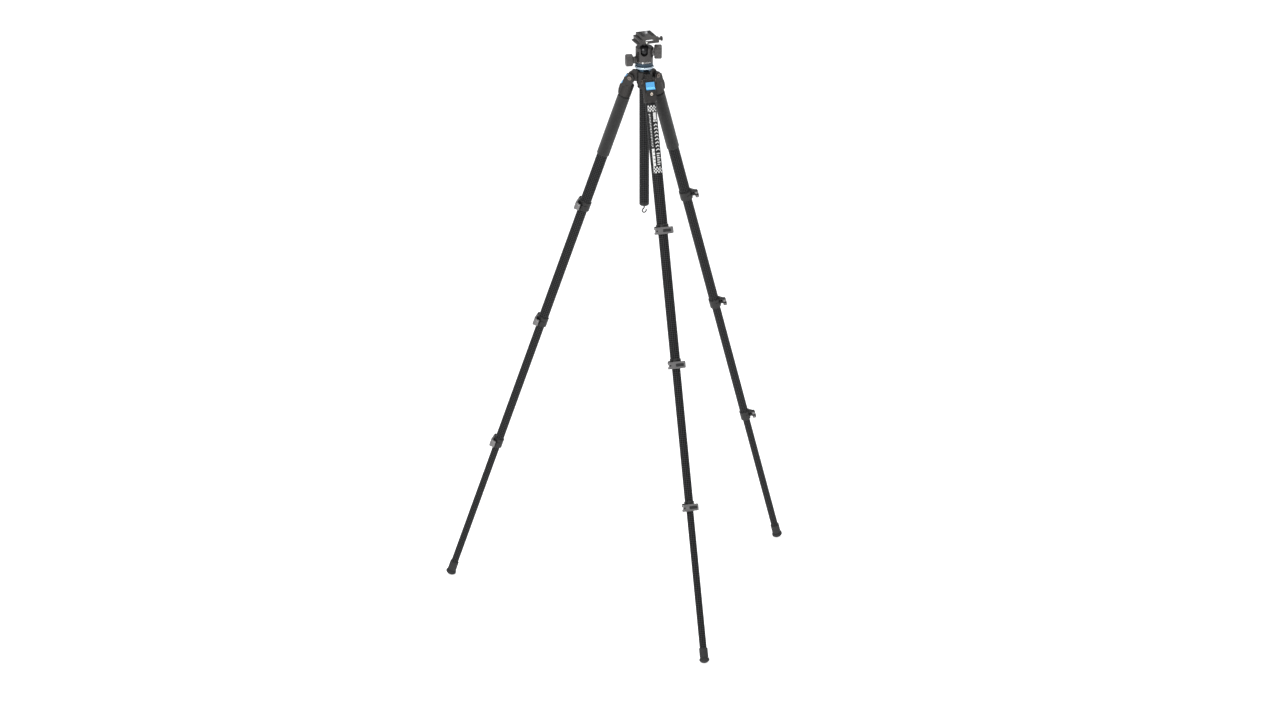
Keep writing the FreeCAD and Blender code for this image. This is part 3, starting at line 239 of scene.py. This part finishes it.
def woven_carbon(name, radius, place, cell=0.0030):
    """Carbon cloth round a tube of that radius, whose axis is the place's Z axis."""
    finish, tree, shader = bare_finish(name, (0.02, 0.02, 0.021), 0.42)
    shader.inputs["Coat Weight"].default_value = 0.02
    shader.inputs["Coat Roughness"].default_value = 0.3
    shader.inputs["Specular IOR Level"].default_value = 0.07
    there = add_node(tree, "ShaderNodeTexCoord").outputs["Object"]
    frame_in = tree.nodes.new("ShaderNodeMapping")
    frame_in.vector_type = "TEXTURE"
    frame_in.inputs["Location"].default_value = place.translation
    frame_in.inputs["Rotation"].default_value = place.to_euler()
    tree.links.new(there, frame_in.inputs["Vector"])
    parts = add_node(tree, "ShaderNodeSeparateXYZ", Vector=frame_in.outputs["Vector"])
    count = round(2 * math.pi * radius / (math.sqrt(2) * cell))
    angle = math_step(tree, "ARCTAN2", parts.outputs["Y"], parts.outputs["X"])
    turn = math_step(tree, "MULTIPLY", angle, count / (2 * math.pi))
    climb = math_step(tree, "MULTIPLY", parts.outputs["Z"], count / (2 * math.pi * radius))
    warp = math_step(tree, "ADD", turn, climb)
    weft = math_step(tree, "SUBTRACT", turn, climb)
    steps = math_step(tree, "ADD", math_step(tree, "FLOOR", warp), math_step(tree, "FLOOR", weft))
    over = math_step(tree, "PINGPONG", steps, 1)
    warp_crown = math_step(tree, "PINGPONG", warp, 0.5)
    weft_crown = math_step(tree, "PINGPONG", weft, 0.5)
    lift = math_step(tree, "SUBTRACT", warp_crown, weft_crown)
    crown = math_step(tree, "ADD", weft_crown, math_step(tree, "MULTIPLY", lift, over))
    threads = add_node(tree, "ShaderNodeTexNoise", Vector=frame_in.outputs["Vector"],
                       Scale=900, Detail=2).outputs["Fac"]
    # Painted sheen: the tows that lie one way are coloured darker and those that lie the other way
    # lighter, for how each catches the light.
    tow_sheen = mixed(tree, over, (0.002, 0.002, 0.0022, 1), (0.038, 0.038, 0.039, 1))
    worn_and_sheen = mixed(tree, spread(tree, threads, 0, 0.3), tow_sheen, (0.018, 0.018, 0.019, 1))
    tree.links.new(worn_and_sheen, shader.inputs["Base Color"])
    tree.links.new(spread(tree, over, 0.36, 0.5), shader.inputs["Roughness"])
    relieve(tree, shader, crown, 0.00012, 0.7)
    return finish


TUBE_RADII = {1: 0.0125, 2: 0.011, 3: 0.0095, 4: 0.008}
for leg in LEGS:
    for number, radius in TUBE_RADII.items():
        cloth = woven_carbon(f"carbon_{leg}_{number}", radius, leg_place(leg))
        paint(f"{leg}_leg_tube_{number}", cloth)


# ---- front leg's print ----
# The front leg has no grip, so its first tube carries a screen print in white ink: two
# rows of plain marks down the tube's outer face, between chequered end blocks.

def piece(name, meshes, finish, body):
    """Joins plain meshes into one piece in its place, with its finish and its body."""
    joined = bmesh.new()
    for mesh in meshes:
        joined.from_mesh(mesh)
    bmesh.ops.remove_doubles(joined, verts=joined.verts, dist=1e-7)
    bmesh.ops.recalc_face_normals(joined, faces=joined.faces)
    whole = bpy.data.meshes.new(name)
    joined.to_mesh(whole)
    joined.free()
    whole.materials.clear()
    whole.materials.append(finish)
    thing = bpy.data.objects.new(name, whole)
    bpy.context.scene.collection.objects.link(thing)
    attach(thing, body)
    return thing


def printed_patch(corners, place, radius, thick=0.00005, steps=5):
    """A thin patch of ink on a tube. Its corners are pairs: degrees round the tube from
    its outer face, and metres down from the hinge."""
    slab = bmesh.new()
    layers = []
    for rise in (0.00001, thick):
        grid = []
        for row in range(steps + 1):
            share = row / steps
            first = [a + (b - a) * share for a, b in zip(corners[0], corners[3])]
            last = [a + (b - a) * share for a, b in zip(corners[1], corners[2])]
            line = []
            for column in range(steps + 1):
                part = column / steps
                turn, down = (a + (b - a) * part for a, b in zip(first, last))
                reach = radius + rise
                line.append(slab.verts.new(place @ Vector((
                    reach * math.cos(math.radians(turn)),
                    reach * math.sin(math.radians(turn)), -down))))
            grid.append(line)
        layers.append(grid)
    under, over = layers
    for row in range(steps):
        for column in range(steps):
            for grid in layers:
                slab.faces.new((grid[row][column], grid[row][column + 1],
                                grid[row + 1][column + 1], grid[row + 1][column]))
    for step in range(steps):
        for a, b in (((0, step), (0, step + 1)), ((steps, step), (steps, step + 1)),
                     ((step, 0), (step + 1, 0)), ((step, steps), (step + 1, steps))):
            slab.faces.new((under[a[0]][a[1]], under[b[0]][b[1]],
                            over[b[0]][b[1]], over[a[0]][a[1]]))
    mesh = bpy.data.meshes.new("patch")
    slab.to_mesh(mesh)
    slab.free()
    return mesh


def box_mark(left, right, top, bottom):
    return [(left, top), (right, top), (right, bottom), (left, bottom)]


def chevron(left, right, top, height, thick, gap=0.1):
    """Two slanting strokes that all but meet in the middle, pointing up the leg."""
    near, far = (left + right - gap) / 2, (left + right + gap) / 2
    tip = top + height
    return [[(left, tip), (near, top), (near, top + thick), (left, tip + thick)],
            [(far, top), (right, tip), (right, tip + thick), (far, top + thick)]]


PRINT_LEFT, CHECK_TURN, ROW = -50, 15.5, 0.0034
marks = []
for start in (0.0535, 0.1895):
    for column in range(6):
        for row in range(4):
            if (row + column) % 2 == 0:
                left = PRINT_LEFT + column * CHECK_TURN
                marks.append(box_mark(max(left, -45.9), left + 15.4, start + row * ROW,
                                      start + row * ROW + 0.00337))
    marks.append(box_mark(PRINT_LEFT, -46, start, start + 0.0136))
marks.append(box_mark(0, 36, 0.0695, 0.0850))
marks.append(box_mark(-4, 12, 0.0860, 0.0900))
marks.append(box_mark(20, 40, 0.0860, 0.0900))
for number in range(8):
    marks += chevron(-4, 42, 0.0940 + number * 0.0078, 0.0030, 0.0027)
for number in range(6):
    marks.append(box_mark(-2, 38 - 12 * (number % 2), 0.1590 + number * 0.0048,
                          0.1615 + number * 0.0048))
for number in range(22):
    short = number % 5 != 0
    marks.append(box_mark(-44 if short else -48, -28, 0.0720 + number * ROW,
                          0.0733 + number * ROW))
for number in range(5):
    top = 0.1490 + number * 0.0080
    marks.append(box_mark(-48, -20, top, top + 0.0064))
    marks.append(box_mark(-48, -38, top + 0.00643, top + 0.00797))

ink = blasted_metal("ink_white", (0.62, 0.62, 0.61), 0.55, 0.0, 2500, 0.00001, 0.06)
print_patches = [printed_patch(mark, leg_place("front"), TUBE_RADII[1]) for mark in marks]
piece("front_leg_print", print_patches, ink, "front_leg")


# ---- lock collars ----
# The collar of a flip lock is glued on the upper tube. Below its slit it is a split ring
# that the lever squeezes on the lower tube. It is black anodised aluminium.

collar_black = blasted_metal("collar_black", (0.02, 0.0195, 0.0195), 0.46, 0.5)
for leg in LEGS:
    for lock in (1, 2, 3):
        paint(f"{leg}_lock_collar_{lock}", collar_black)


# ---- lock levers ----
# The lever is a bent aluminium plate, anodised mid grey with a satin face and rounded at
# its free end. A dark moulded pad sits in its sunk field, with ribs for the fingertip.

lever_grey = blasted_metal("lever_grey", (0.17, 0.165, 0.165), 0.4, 0.55, 1800, 0.00003, 0.1)
pad_black = blasted_metal("pad_black", (0.012, 0.012, 0.0125), 0.6, 0.0, 1500, 0.00004)


def new_tree(name, inputs):
    """A geometry tree with named inputs, which are given with their kinds."""
    tree = bpy.data.node_groups.new(name, "GeometryNodeTree")
    for label, kind in inputs.items():
        tree.interface.new_socket(label, in_out="INPUT", socket_type="NodeSocket" + kind)
    tree.interface.new_socket("Geometry", in_out="OUTPUT", socket_type="NodeSocketGeometry")
    return tree, tree.nodes.new("NodeGroupInput"), tree.nodes.new("NodeGroupOutput")


def end_tree(tree, start, end, instances):
    """Makes the instances real, gives them their material and ends the tree."""
    real = tree.nodes.new("GeometryNodeRealizeInstances")
    finish = tree.nodes.new("GeometryNodeSetMaterial")
    tree.links.new(instances, real.inputs[0])
    tree.links.new(real.outputs[0], finish.inputs["Geometry"])
    tree.links.new(start.outputs["Material"], finish.inputs["Material"])
    tree.links.new(finish.outputs["Geometry"], end.inputs["Geometry"])


def grown(tree, place, **values):
    """What a tree makes with these inputs, as a plain mesh in its place."""
    seed = bpy.data.objects.new("seed", bpy.data.meshes.new("seed"))
    growth = seed.modifiers.new("growth", "NODES")
    growth.node_group = tree
    for item in tree.interface.items_tree:
        if item.in_out == "INPUT":
            growth[item.identifier] = values[item.name.replace(" ", "_")]
    bpy.context.scene.collection.objects.link(seed)
    view = bpy.context.evaluated_depsgraph_get()
    mesh = bpy.data.meshes.new_from_object(seed.evaluated_get(view))
    bpy.data.objects.remove(seed)
    mesh.transform(place)
    return mesh


row_tree, row_in, row_out = new_tree("ribs_in_a_row", {
    "Count": "Int", "Pitch": "Vector", "Length": "Float", "Width": "Float",
    "Material": "Material"})
row_line = row_tree.nodes.new("GeometryNodeMeshLine")
row_rib = row_tree.nodes.new("GeometryNodeMeshCylinder")
row_rib.inputs["Vertices"].default_value = 10
row_put = row_tree.nodes.new("GeometryNodeInstanceOnPoints")
row_tree.links.new(row_in.outputs["Count"], row_line.inputs["Count"])
row_tree.links.new(row_in.outputs["Pitch"], row_line.inputs["Offset"])
row_tree.links.new(row_in.outputs["Length"], row_rib.inputs["Depth"])
row_tree.links.new(row_in.outputs["Width"], row_rib.inputs["Radius"])
row_tree.links.new(row_line.outputs["Mesh"], row_put.inputs["Points"])
row_tree.links.new(row_rib.outputs["Mesh"], row_put.inputs["Instance"])
end_tree(row_tree, row_in, row_out, row_put.outputs["Instances"])


def rounded_slab(place, length, height, thick, corner, steps=6):
    """A flat slab with round corners, from its back in the place's YZ plane out along X."""
    outline = []
    for turn, y, z in ((0, 1, 1), (90, -1, 1), (180, -1, -1), (270, 1, -1)):
        for step in range(steps + 1):
            angle = math.radians(turn + 90 * step / steps)
            outline.append((y * (length / 2 - corner) + corner * math.cos(angle),
                            z * (height / 2 - corner) + corner * math.sin(angle)))
    slab = bmesh.new()
    bevel = min(thick, corner) * 0.4
    rings = []
    for x, inset in ((0, 0), (thick - bevel, 0), (thick, bevel)):
        shrink_y = 1 - 2 * inset / length
        shrink_z = 1 - 2 * inset / height
        rings.append([slab.verts.new(place @ Vector((x, y * shrink_y, z * shrink_z)))
                      for y, z in outline])
    slab.faces.new(rings[0])
    slab.faces.new(rings[-1])
    for low, high in zip(rings, rings[1:]):
        for number in range(len(outline)):
            after = (number + 1) % len(outline)
            slab.faces.new((low[number], low[after], high[after], high[number]))
    mesh = bpy.data.meshes.new("slab")
    slab.to_mesh(mesh)
    slab.free()
    return mesh


LOCK_AT = {1: 0.317, 2: 0.616, 3: 0.933}
LEVER_BELOW, LEVER_HALF, LEVER_CORNER = 0.01385, 0.00785, 0.0048
TIP_OUT, FACE_OUT, PAD_SUNK = 0.0095, 0.0066, 0.0007


def rounded_end(node, place, tip, radius, half, reach=0.02, steps=10):
    """A merged copy of a lever, with the two corners of its free end cut round."""
    cutter = bmesh.new()
    for side in (-1, 1):
        corner = (tip + 0.001, side * (half + 0.001))
        edge = [corner, (tip - radius, corner[1])]
        for step in range(steps + 1):
            angle = math.radians(90 - 90 * step / steps)
            edge.append((tip - radius + radius * math.cos(angle),
                         side * (half - radius + radius * math.sin(angle))))
        edge.append((corner[0], side * (half - radius)))
        near = [cutter.verts.new(place @ Vector((-reach, y, z))) for y, z in edge]
        far = [cutter.verts.new(place @ Vector((reach, y, z))) for y, z in edge]
        cutter.faces.new(near)
        cutter.faces.new(far)
        for number in range(len(edge)):
            after = (number + 1) % len(edge)
            cutter.faces.new((near[number], near[after], far[after], far[number]))
    bmesh.ops.remove_doubles(cutter, verts=cutter.verts, dist=1e-7)
    bmesh.ops.recalc_face_normals(cutter, faces=cutter.faces)
    cutter_mesh = bpy.data.meshes.new("cutter")
    cutter.to_mesh(cutter_mesh)
    cutter.free()
    merged = bmesh.new()
    merged.from_mesh(nodes[node].data)
    bmesh.ops.remove_doubles(merged, verts=merged.verts, dist=1e-6)
    blank = bpy.data.meshes.new("blank")
    merged.to_mesh(blank)
    merged.free()
    lever = bpy.data.objects.new("blank", blank)
    knife = bpy.data.objects.new("knife", cutter_mesh)
    for thing in (lever, knife):
        bpy.context.scene.collection.objects.link(thing)
    cut = lever.modifiers.new("cut", "BOOLEAN")
    cut.operation = "DIFFERENCE"
    cut.solver = "EXACT"
    cut.object = knife
    view = bpy.context.evaluated_depsgraph_get()
    mesh = bpy.data.meshes.new_from_object(lever.evaluated_get(view))
    bpy.data.objects.remove(lever)
    bpy.data.objects.remove(knife)
    return mesh


for leg in LEGS:
    for lock in (1, 2, 3):
        down = -LOCK_AT[lock] - LEVER_BELOW
        middle = leg_place(leg) @ Matrix.Translation((0, 0, down))
        tip = TUBE_RADII[lock] + TIP_OUT
        blade = rounded_end(f"{leg}_lock_lever_{lock}", middle, tip, LEVER_CORNER, LEVER_HALF)
        lever = piece(f"{leg}_rounded_lever_{lock}", [blade], lever_grey,
                      f"{leg}_lever_{lock}")
        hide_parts(f"{leg}_lock_lever_{lock}")
        face = TUBE_RADII[lock] + FACE_OUT
        field = leg_place(leg) @ Matrix.Translation((face - PAD_SUNK, 0.0045, down))
        field_pad = rounded_slab(field, 0.0184, 0.0064, 0.0003, 0.0018)
        ribs = grown(row_tree, field @ Matrix.Translation((0.0002, -0.0060, 0)),
                     Count=9, Pitch=(0, 0.0015, 0), Length=0.0042, Width=0.00034,
                     Material=pad_black)
        piece(f"{leg}_lever_pad_{lock}", [field_pad, ribs], pad_black,
              f"{leg}_lever_{lock}")


# ---- foam grips ----
# Sleeves of closed-cell foam, turned to a slight barrel and glued on the first tubes of
# the side legs. Their ends are rounded over.

def closed_cell_foam():
    """Matt foam: open pores in its skin, coloured darker as painted shade, and a slow change of
    tone.
    """
    finish, tree, shader = bare_finish("foam_black", (0.03, 0.029, 0.028), 0.9)
    shader.inputs["Sheen Weight"].default_value = 0.25
    shader.inputs["Sheen Roughness"].default_value = 0.6
    shader.inputs["Specular IOR Level"].default_value = 0.2
    place = add_node(tree, "ShaderNodeTexCoord").outputs["Object"]
    pores = add_node(tree, "ShaderNodeTexVoronoi", Vector=place, Scale=1100).outputs["Distance"]
    cloud = add_node(tree, "ShaderNodeTexNoise", Vector=place, Scale=70, Detail=5).outputs["Fac"]
    skin = mixed(tree, cloud, (0.013, 0.0127, 0.0124, 1), (0.025, 0.0243, 0.0238, 1))
    # Painted shade: the pores, which the bump sinks, are coloured darker than the skin around
    # them.
    skin_with_shaded_pores = mixed(tree, spread(tree, pores, 0.5, -0.2), skin, (0.012, 0.012, 0.012, 1))
    tree.links.new(skin_with_shaded_pores, shader.inputs["Base Color"])
    relieve(tree, shader, pores, 0.00015)
    return finish


def turned_mesh(profile, place, segments=96):
    """A closed half-section of (radius, height) pairs, turned about the place's Z axis."""
    shell = bmesh.new()
    rings = []
    for number in range(segments):
        angle = 2 * math.pi * number / segments
        rings.append([shell.verts.new(place @ Vector((
            radius * math.cos(angle), radius * math.sin(angle), height)))
            for radius, height in profile])
    for number, ring in enumerate(rings):
        beside = rings[(number + 1) % segments]
        for low in range(len(profile)):
            high = (low + 1) % len(profile)
            if profile[low][0] > 0 or profile[high][0] > 0:
                shell.faces.new((ring[low], beside[low], beside[high], ring[high]))
    bmesh.ops.remove_doubles(shell, verts=shell.verts, dist=1e-7)
    bmesh.ops.dissolve_degenerate(shell, edges=shell.edges, dist=1e-7)
    mesh = bpy.data.meshes.new("turned")
    shell.to_mesh(mesh)
    shell.free()
    return mesh


foam = closed_cell_foam()
GRIP_FROM, GRIP_TO, GRIP_BORE, GRIP_RADIUS = 0.0495, 0.1975, 0.01255, 0.01425
END_OVER, END_ALONG = 0.0012, 0.0016
for leg in ("right", "left"):
    skin = [(GRIP_BORE, -GRIP_TO)]
    for step in range(7):
        lean = math.radians(90 * step / 6)
        skin.append((GRIP_RADIUS - END_OVER + END_OVER * math.sin(lean),
                     -GRIP_TO + END_ALONG - END_ALONG * math.cos(lean)))
    for step in range(1, 24):
        along = step / 24
        swell = 0.00012 * math.sin(math.pi * along) + 0.00004 * math.sin(23 * along)
        skin.append((GRIP_RADIUS - 0.0001 + swell, -GRIP_TO + (GRIP_TO - GRIP_FROM) * along))
    for step in range(7):
        lean = math.radians(90 * step / 6)
        skin.append((GRIP_RADIUS - END_OVER + END_OVER * math.cos(lean),
                     -GRIP_FROM - END_ALONG + END_ALONG * math.sin(lean)))
    skin.append((GRIP_BORE, -GRIP_FROM))
    grip = piece(f"{leg}_foam_sleeve", [turned_mesh(skin, leg_place(leg))], foam,
                 f"{leg}_leg")
    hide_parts(f"{leg}_foam_grip")


# ---- casting screws ----
# A small socket screw in each casting pinches it on its tube, below the stop tab.

SCREW_DOWN = 0.0285
screw_bright = blasted_metal("screw_bright", (0.8, 0.68, 0.58), 0.26, 1.0, 2500, 0.000005)
for leg in LEGS:
    casting = nodes[f"{leg}_leg_casting"].data
    shell = BVHTree.FromPolygons([corner.co for corner in casting.vertices],
                                 [face.vertices for face in casting.polygons])
    outside = leg_place(leg) @ Vector((0.05, 0, -SCREW_DOWN))
    inwards = leg_place(leg).to_3x3() @ Vector((-1, 0, 0))
    spot = shell.ray_cast(outside, inwards)[0]
    seat = leg_place(leg).copy()
    seat.translation = spot
    seat = seat @ Matrix.Rotation(math.radians(90), 4, "Y")
    head = turned_mesh([(0, -0.0006), (0.0032, -0.0006), (0.0032, 0.0007), (0.0027, 0.0011),
                        (0.0015, 0.0011), (0.0013, 0.0001), (0, 0.0001)], seat, 32)
    piece(f"{leg}_casting_screw", [head], screw_bright, f"{leg}_leg")


# ---- feet ----
# Hard rubber feet are glued on the last tubes, with a flared rim and a round sole.

foot_rubber = blasted_metal("foot_rubber", (0.016, 0.016, 0.0165), 0.78, 0.0, 700, 0.00006)
for leg in LEGS:
    paint(f"{leg}_foot", foot_rubber)


# ---- centre column ----
# A carbon tube that slides in the spider, with a bright-rimmed disc on top and a cap
# with a wire hook at the foot.

column_frame = Matrix.Translation((0, 0, 1.2))
paint("column_tube", woven_carbon("carbon_column", 0.011, column_frame))
paint("column_cap", collar_black)
paint("column_lock_ring", casting_black)
hook_steel = blasted_metal("hook_steel", (0.05, 0.048, 0.047), 0.36, 0.8, 2500, 0.00001)
paint("weight_hook", hook_steel)


# ---- ball head ----
# The panning base is anodised dark blue, and so is the foot of the housing that turns on
# it. The housing is a turned aluminium cup, open at one side for the ball's stem.

def banded_metal(name, low_colour, high_colour, height, roughness, metallic):
    """Anodised metal in two colours that meet at a height, with fine turning marks."""
    finish, tree, shader = bare_finish(name, high_colour, roughness, metallic)
    place = add_node(tree, "ShaderNodeTexCoord").outputs["Object"]
    level = add_node(tree, "ShaderNodeSeparateXYZ", Vector=place).outputs["Z"]
    above = math_step(tree, "GREATER_THAN", level, height)
    blast = add_node(tree, "ShaderNodeTexNoise", Vector=place, Scale=1300, Detail=2).outputs["Fac"]
    cloud = add_node(tree, "ShaderNodeTexNoise", Vector=place, Scale=60, Detail=3).outputs["Fac"]
    low = mixed(tree, cloud, shade(low_colour, 0.88), shade(low_colour, 1.12))
    high = mixed(tree, cloud, shade(high_colour, 0.88), shade(high_colour, 1.12))
    tree.links.new(mixed(tree, above, low, high), shader.inputs["Base Color"])
    tree.links.new(spread(tree, cloud, roughness - 0.07, roughness + 0.07),
                   shader.inputs["Roughness"])
    grooves = math_step(tree, "SINE", math_step(tree, "MULTIPLY", level, 12000))
    skin = math_step(tree, "ADD", math_step(tree, "MULTIPLY", grooves, 0.25), blast)
    relieve(tree, shader, skin, 0.00002)
    return finish


base_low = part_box("panning_base")[0]
disc_finish = banded_metal("disc_rim", (0.035, 0.075, 0.115), (0.6, 0.7, 0.78),
                           base_low.z - 0.0026, 0.24, 0.85)
paint("column_disc", disc_finish)
base_finish = banded_metal("base_rim", (0.6, 0.7, 0.78), (0.03, 0.06, 0.09),
                           base_low.z + 0.0009, 0.3, 0.8)
paint("panning_base", base_finish)
head_grey = banded_metal("head_grey", (0.03, 0.055, 0.08), (0.062, 0.058, 0.057),
                         base_low.z + 0.0095, 0.4, 0.6)
paint("ball_housing", head_grey)
ball_metal = blasted_metal("ball_metal", (0.03, 0.03, 0.031), 0.3, 0.8, 3000, 0.000005)
paint("ball", ball_metal)
nylon = blasted_metal("nylon", (0.72, 0.72, 0.69), 0.5, 0.0, 1200, 0.00002)
paint("ball_seat", nylon)


# ---- panning scale ----
# A row of ink marks round the housing's foot, on the side of the drop notch: short
# strokes either side of a wide index block.

tilt = joints["ball_tilt"]
head_right = Vector(tilt["axis"])
head_front = Vector((head_right.y, -head_right.x, 0))
head_place = Matrix((head_front, head_right, Vector((0, 0, 1)))).transposed().to_4x4()
head_place.translation = (0, 0, base_low.z)
scale_marks = [box_mark(-16, -4, -0.0108, -0.0138), box_mark(-13, -7, -0.0096, -0.0110)]
for turn in range(2, 50, 6):
    scale_marks.append(box_mark(turn, turn + 2.2, -0.0112, -0.0136))
for turn in range(-46, -20, 6):
    scale_marks.append(box_mark(turn, turn + 1.2, -0.0112, -0.0128))
piece("panning_scale", [printed_patch(mark, head_place, 0.0195) for mark in scale_marks],
      ink, "housing")


# ---- knobs ----
# Each knob is a turned aluminium barrel with straight knurling, on a steel shaft. The
# knurls are cut along the knob's axis.

knob_grey = blasted_metal("knob_grey", (0.075, 0.071, 0.069), 0.46, 0.5)
round_tree, round_in, round_out = new_tree("ribs_in_a_ring", {
    "Count": "Int", "Radius": "Float", "Length": "Float", "Width": "Float",
    "Material": "Material"})
round_ring = round_tree.nodes.new("GeometryNodeMeshCircle")
round_rib = round_tree.nodes.new("GeometryNodeMeshCylinder")
round_rib.inputs["Vertices"].default_value = 8
round_put = round_tree.nodes.new("GeometryNodeInstanceOnPoints")
round_tree.links.new(round_in.outputs["Count"], round_ring.inputs["Vertices"])
round_tree.links.new(round_in.outputs["Radius"], round_ring.inputs["Radius"])
round_tree.links.new(round_in.outputs["Length"], round_rib.inputs["Depth"])
round_tree.links.new(round_in.outputs["Width"], round_rib.inputs["Radius"])
round_tree.links.new(round_ring.outputs["Mesh"], round_put.inputs["Points"])
round_tree.links.new(round_rib.outputs["Mesh"], round_put.inputs["Instance"])
end_tree(round_tree, round_in, round_out, round_put.outputs["Instances"])

KNOBS = {
    "ball_lock_knob": ("ball_knob_turn", "ball_knob", 0.0155, 0.0220, 0.0390, 44),
    "pan_lock_knob": ("pan_knob_turn", "pan_knob", 0.0135, 0.0260, 0.0420, 38),
}
for node, (joint, body, radius, start, end, count) in KNOBS.items():
    paint(node, knob_grey)
    turning = joints[joint]
    axis = Vector(turning["axis"])
    place = axis.to_track_quat("Z", "Y").to_matrix().to_4x4()
    place.translation = Vector((0, 0, turning["pos_m"][2])) + axis * (start + end) / 2
    ribs = grown(round_tree, place, Count=count, Radius=radius - 0.0001,
                 Length=end - start - 0.0036, Width=0.00055, Material=knob_grey)
    face = place @ Matrix.Translation((0, 0, (end - start) / 2 - 0.001))
    dial = turned_mesh([(0, 0), (radius * 0.5, 0), (radius * 0.5, 0.0005),
                        (radius * 0.44, 0.0008), (0, 0.0006)], face, 48)
    piece(node + "_knurls", [ribs, dial], knob_grey, body)


# ---- clamp ----
# The clamp is milled from aluminium bar. One jaw is part of it, and the spool knob's
# screw draws the other one in. A small round level is let into its front.

clamp_grey = blasted_metal("clamp_grey", (0.05, 0.047, 0.046), 0.42, 0.6)
paint("clamp_body", clamp_grey)
paint("clamp_jaw", clamp_grey)
paint("clamp_knob", knob_grey)
level_pale = blasted_metal("level_pale", (0.74, 0.76, 0.68), 0.12, 0.0, 600, 0.00001)
paint("bubble_level", level_pale)


# ---- quick-release plate ----
# The plate that stays on the camera: bead-blasted aluminium with two ribbed rubber
# strips on top, and a bright-cut finger edge at the front, whose bright crescent is partly a
# painted highlight.

plate_grey = blasted_metal("plate_grey", (0.062, 0.059, 0.057), 0.44, 0.5)
paint("quick_release_plate", plate_grey)
slide = Vector(joints["plate_slide"]["axis"])
plate_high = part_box("quick_release_plate")[1]
screw_low, screw_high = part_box("camera_screw")
plate_across = Vector((slide.y, -slide.x, 0))
plate_place = Matrix((plate_across, slide, Vector((0, 0, 1)))).transposed().to_4x4()
plate_place.translation = ((screw_low.x + screw_high.x) / 2, (screw_low.y + screw_high.y) / 2,
                           plate_high.z)
strip_rubber = blasted_metal("strip_rubber", (0.022, 0.022, 0.022), 0.8, 0.0, 900, 0.00006)
STRIP_OUT = 0.0105
strips = []
for side in (-1, 1):
    flat = plate_place @ Matrix.Translation((side * STRIP_OUT, 0, -0.0001)) @ (
        Matrix.Rotation(math.radians(-90), 4, "Y"))
    strips.append(rounded_slab(flat, 0.034, 0.0075, 0.0005, 0.0012))
    ribs_place = plate_place @ Matrix.Translation((side * STRIP_OUT, -0.0153, 0.0004)) @ (
        Matrix.Rotation(math.radians(90), 4, "Y"))
    strips.append(grown(row_tree, ribs_place, Count=18, Pitch=(0, 0.0018, 0), Length=0.0066,
                        Width=0.00035, Material=strip_rubber))
piece("plate_strips", strips, strip_rubber, "plate")

# A thin crescent of bright metal on the plate's front face: partly a real bright-cut edge, and
# partly a painted highlight in its shape and brightness.
bright_cut = blasted_metal("bright_cut", (0.85, 0.85, 0.86), 0.18, 1.0, 3000, 0.000003, 0.03)
EDGE_HALF, EDGE_RISE, EDGE_FACE, EDGE_THICK, EDGE_STEPS = 0.0105, 0.0026, -0.0200, 0.0006, 24
sliver = bmesh.new()
outline = []
for step in range(EDGE_STEPS + 1):
    share = step / EDGE_STEPS
    outline.append((EDGE_HALF * (2 * share - 1),
                    -0.0101 - 0.0003 * math.sin(math.pi * share)))
for step in range(EDGE_STEPS + 1):
    share = 1 - step / EDGE_STEPS
    outline.append((EDGE_HALF * (2 * share - 1),
                    -0.0099 + EDGE_RISE * math.sin(math.pi * share)))
rings = []
for depth in (EDGE_THICK, 0):
    rings.append([sliver.verts.new(plate_place @ Vector((x, EDGE_FACE + depth, z)))
                  for x, z in outline])
sliver.faces.new(rings[0])
sliver.faces.new(rings[1])
for number in range(len(outline)):
    after = (number + 1) % len(outline)
    sliver.faces.new((rings[0][number], rings[0][after], rings[1][after], rings[1][number]))
sliver_mesh = bpy.data.meshes.new("sliver")
sliver.to_mesh(sliver_mesh)
sliver.free()
piece("plate_finger_edge", [sliver_mesh], bright_cut, "plate")


# ---- camera screw ----
# The quarter-inch screw that holds the camera, of bright steel, with a rolled thread.

def threaded_rod(place, radius, root, pitch, low, high, around=48):
    """A rod with a thread of that pitch, closed at both ends, and faded out at them."""
    rod = bmesh.new()
    rows = int((high - low) / pitch * 16)
    rings = []
    for row in range(rows + 1):
        height = low + (high - low) * row / rows
        fade = min(1, (height - low) / pitch, (high - height) / pitch)
        ring = []
        for number in range(around):
            turn = number / around
            phase = (height / pitch - turn) % 1
            reach = root + (radius - root) * (1 - abs(2 * phase - 1)) * fade
            angle = 2 * math.pi * turn
            ring.append(rod.verts.new(place @ Vector((
                reach * math.cos(angle), reach * math.sin(angle), height))))
        rings.append(ring)
    for below, above in zip(rings, rings[1:]):
        for number in range(around):
            after = (number + 1) % around
            rod.faces.new((below[number], below[after], above[after], above[number]))
    rod.faces.new(rings[0])
    rod.faces.new(rings[-1])
    mesh = bpy.data.meshes.new("rod")
    rod.to_mesh(mesh)
    rod.free()
    return mesh


screw_steel = blasted_metal("screw_steel", (0.75, 0.75, 0.76), 0.2, 1.0, 2500, 0.000005, 0.04)
head_height = screw_low.z - plate_high.z
screw_head = turned_mesh([(0, head_height), (0.0064, head_height),
                          (0.0070, head_height + 0.0006), (0.0070, head_height + 0.0025),
                          (0, head_height + 0.0025)], plate_place, 64)
screw_rod = threaded_rod(plate_place, 0.003175, 0.0027, 0.00127, head_height + 0.0024,
                         screw_high.z - plate_high.z)
camera_screw = piece("camera_thread", [screw_head, screw_rod], screw_steel,
                     "camera_screw")
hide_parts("camera_screw")
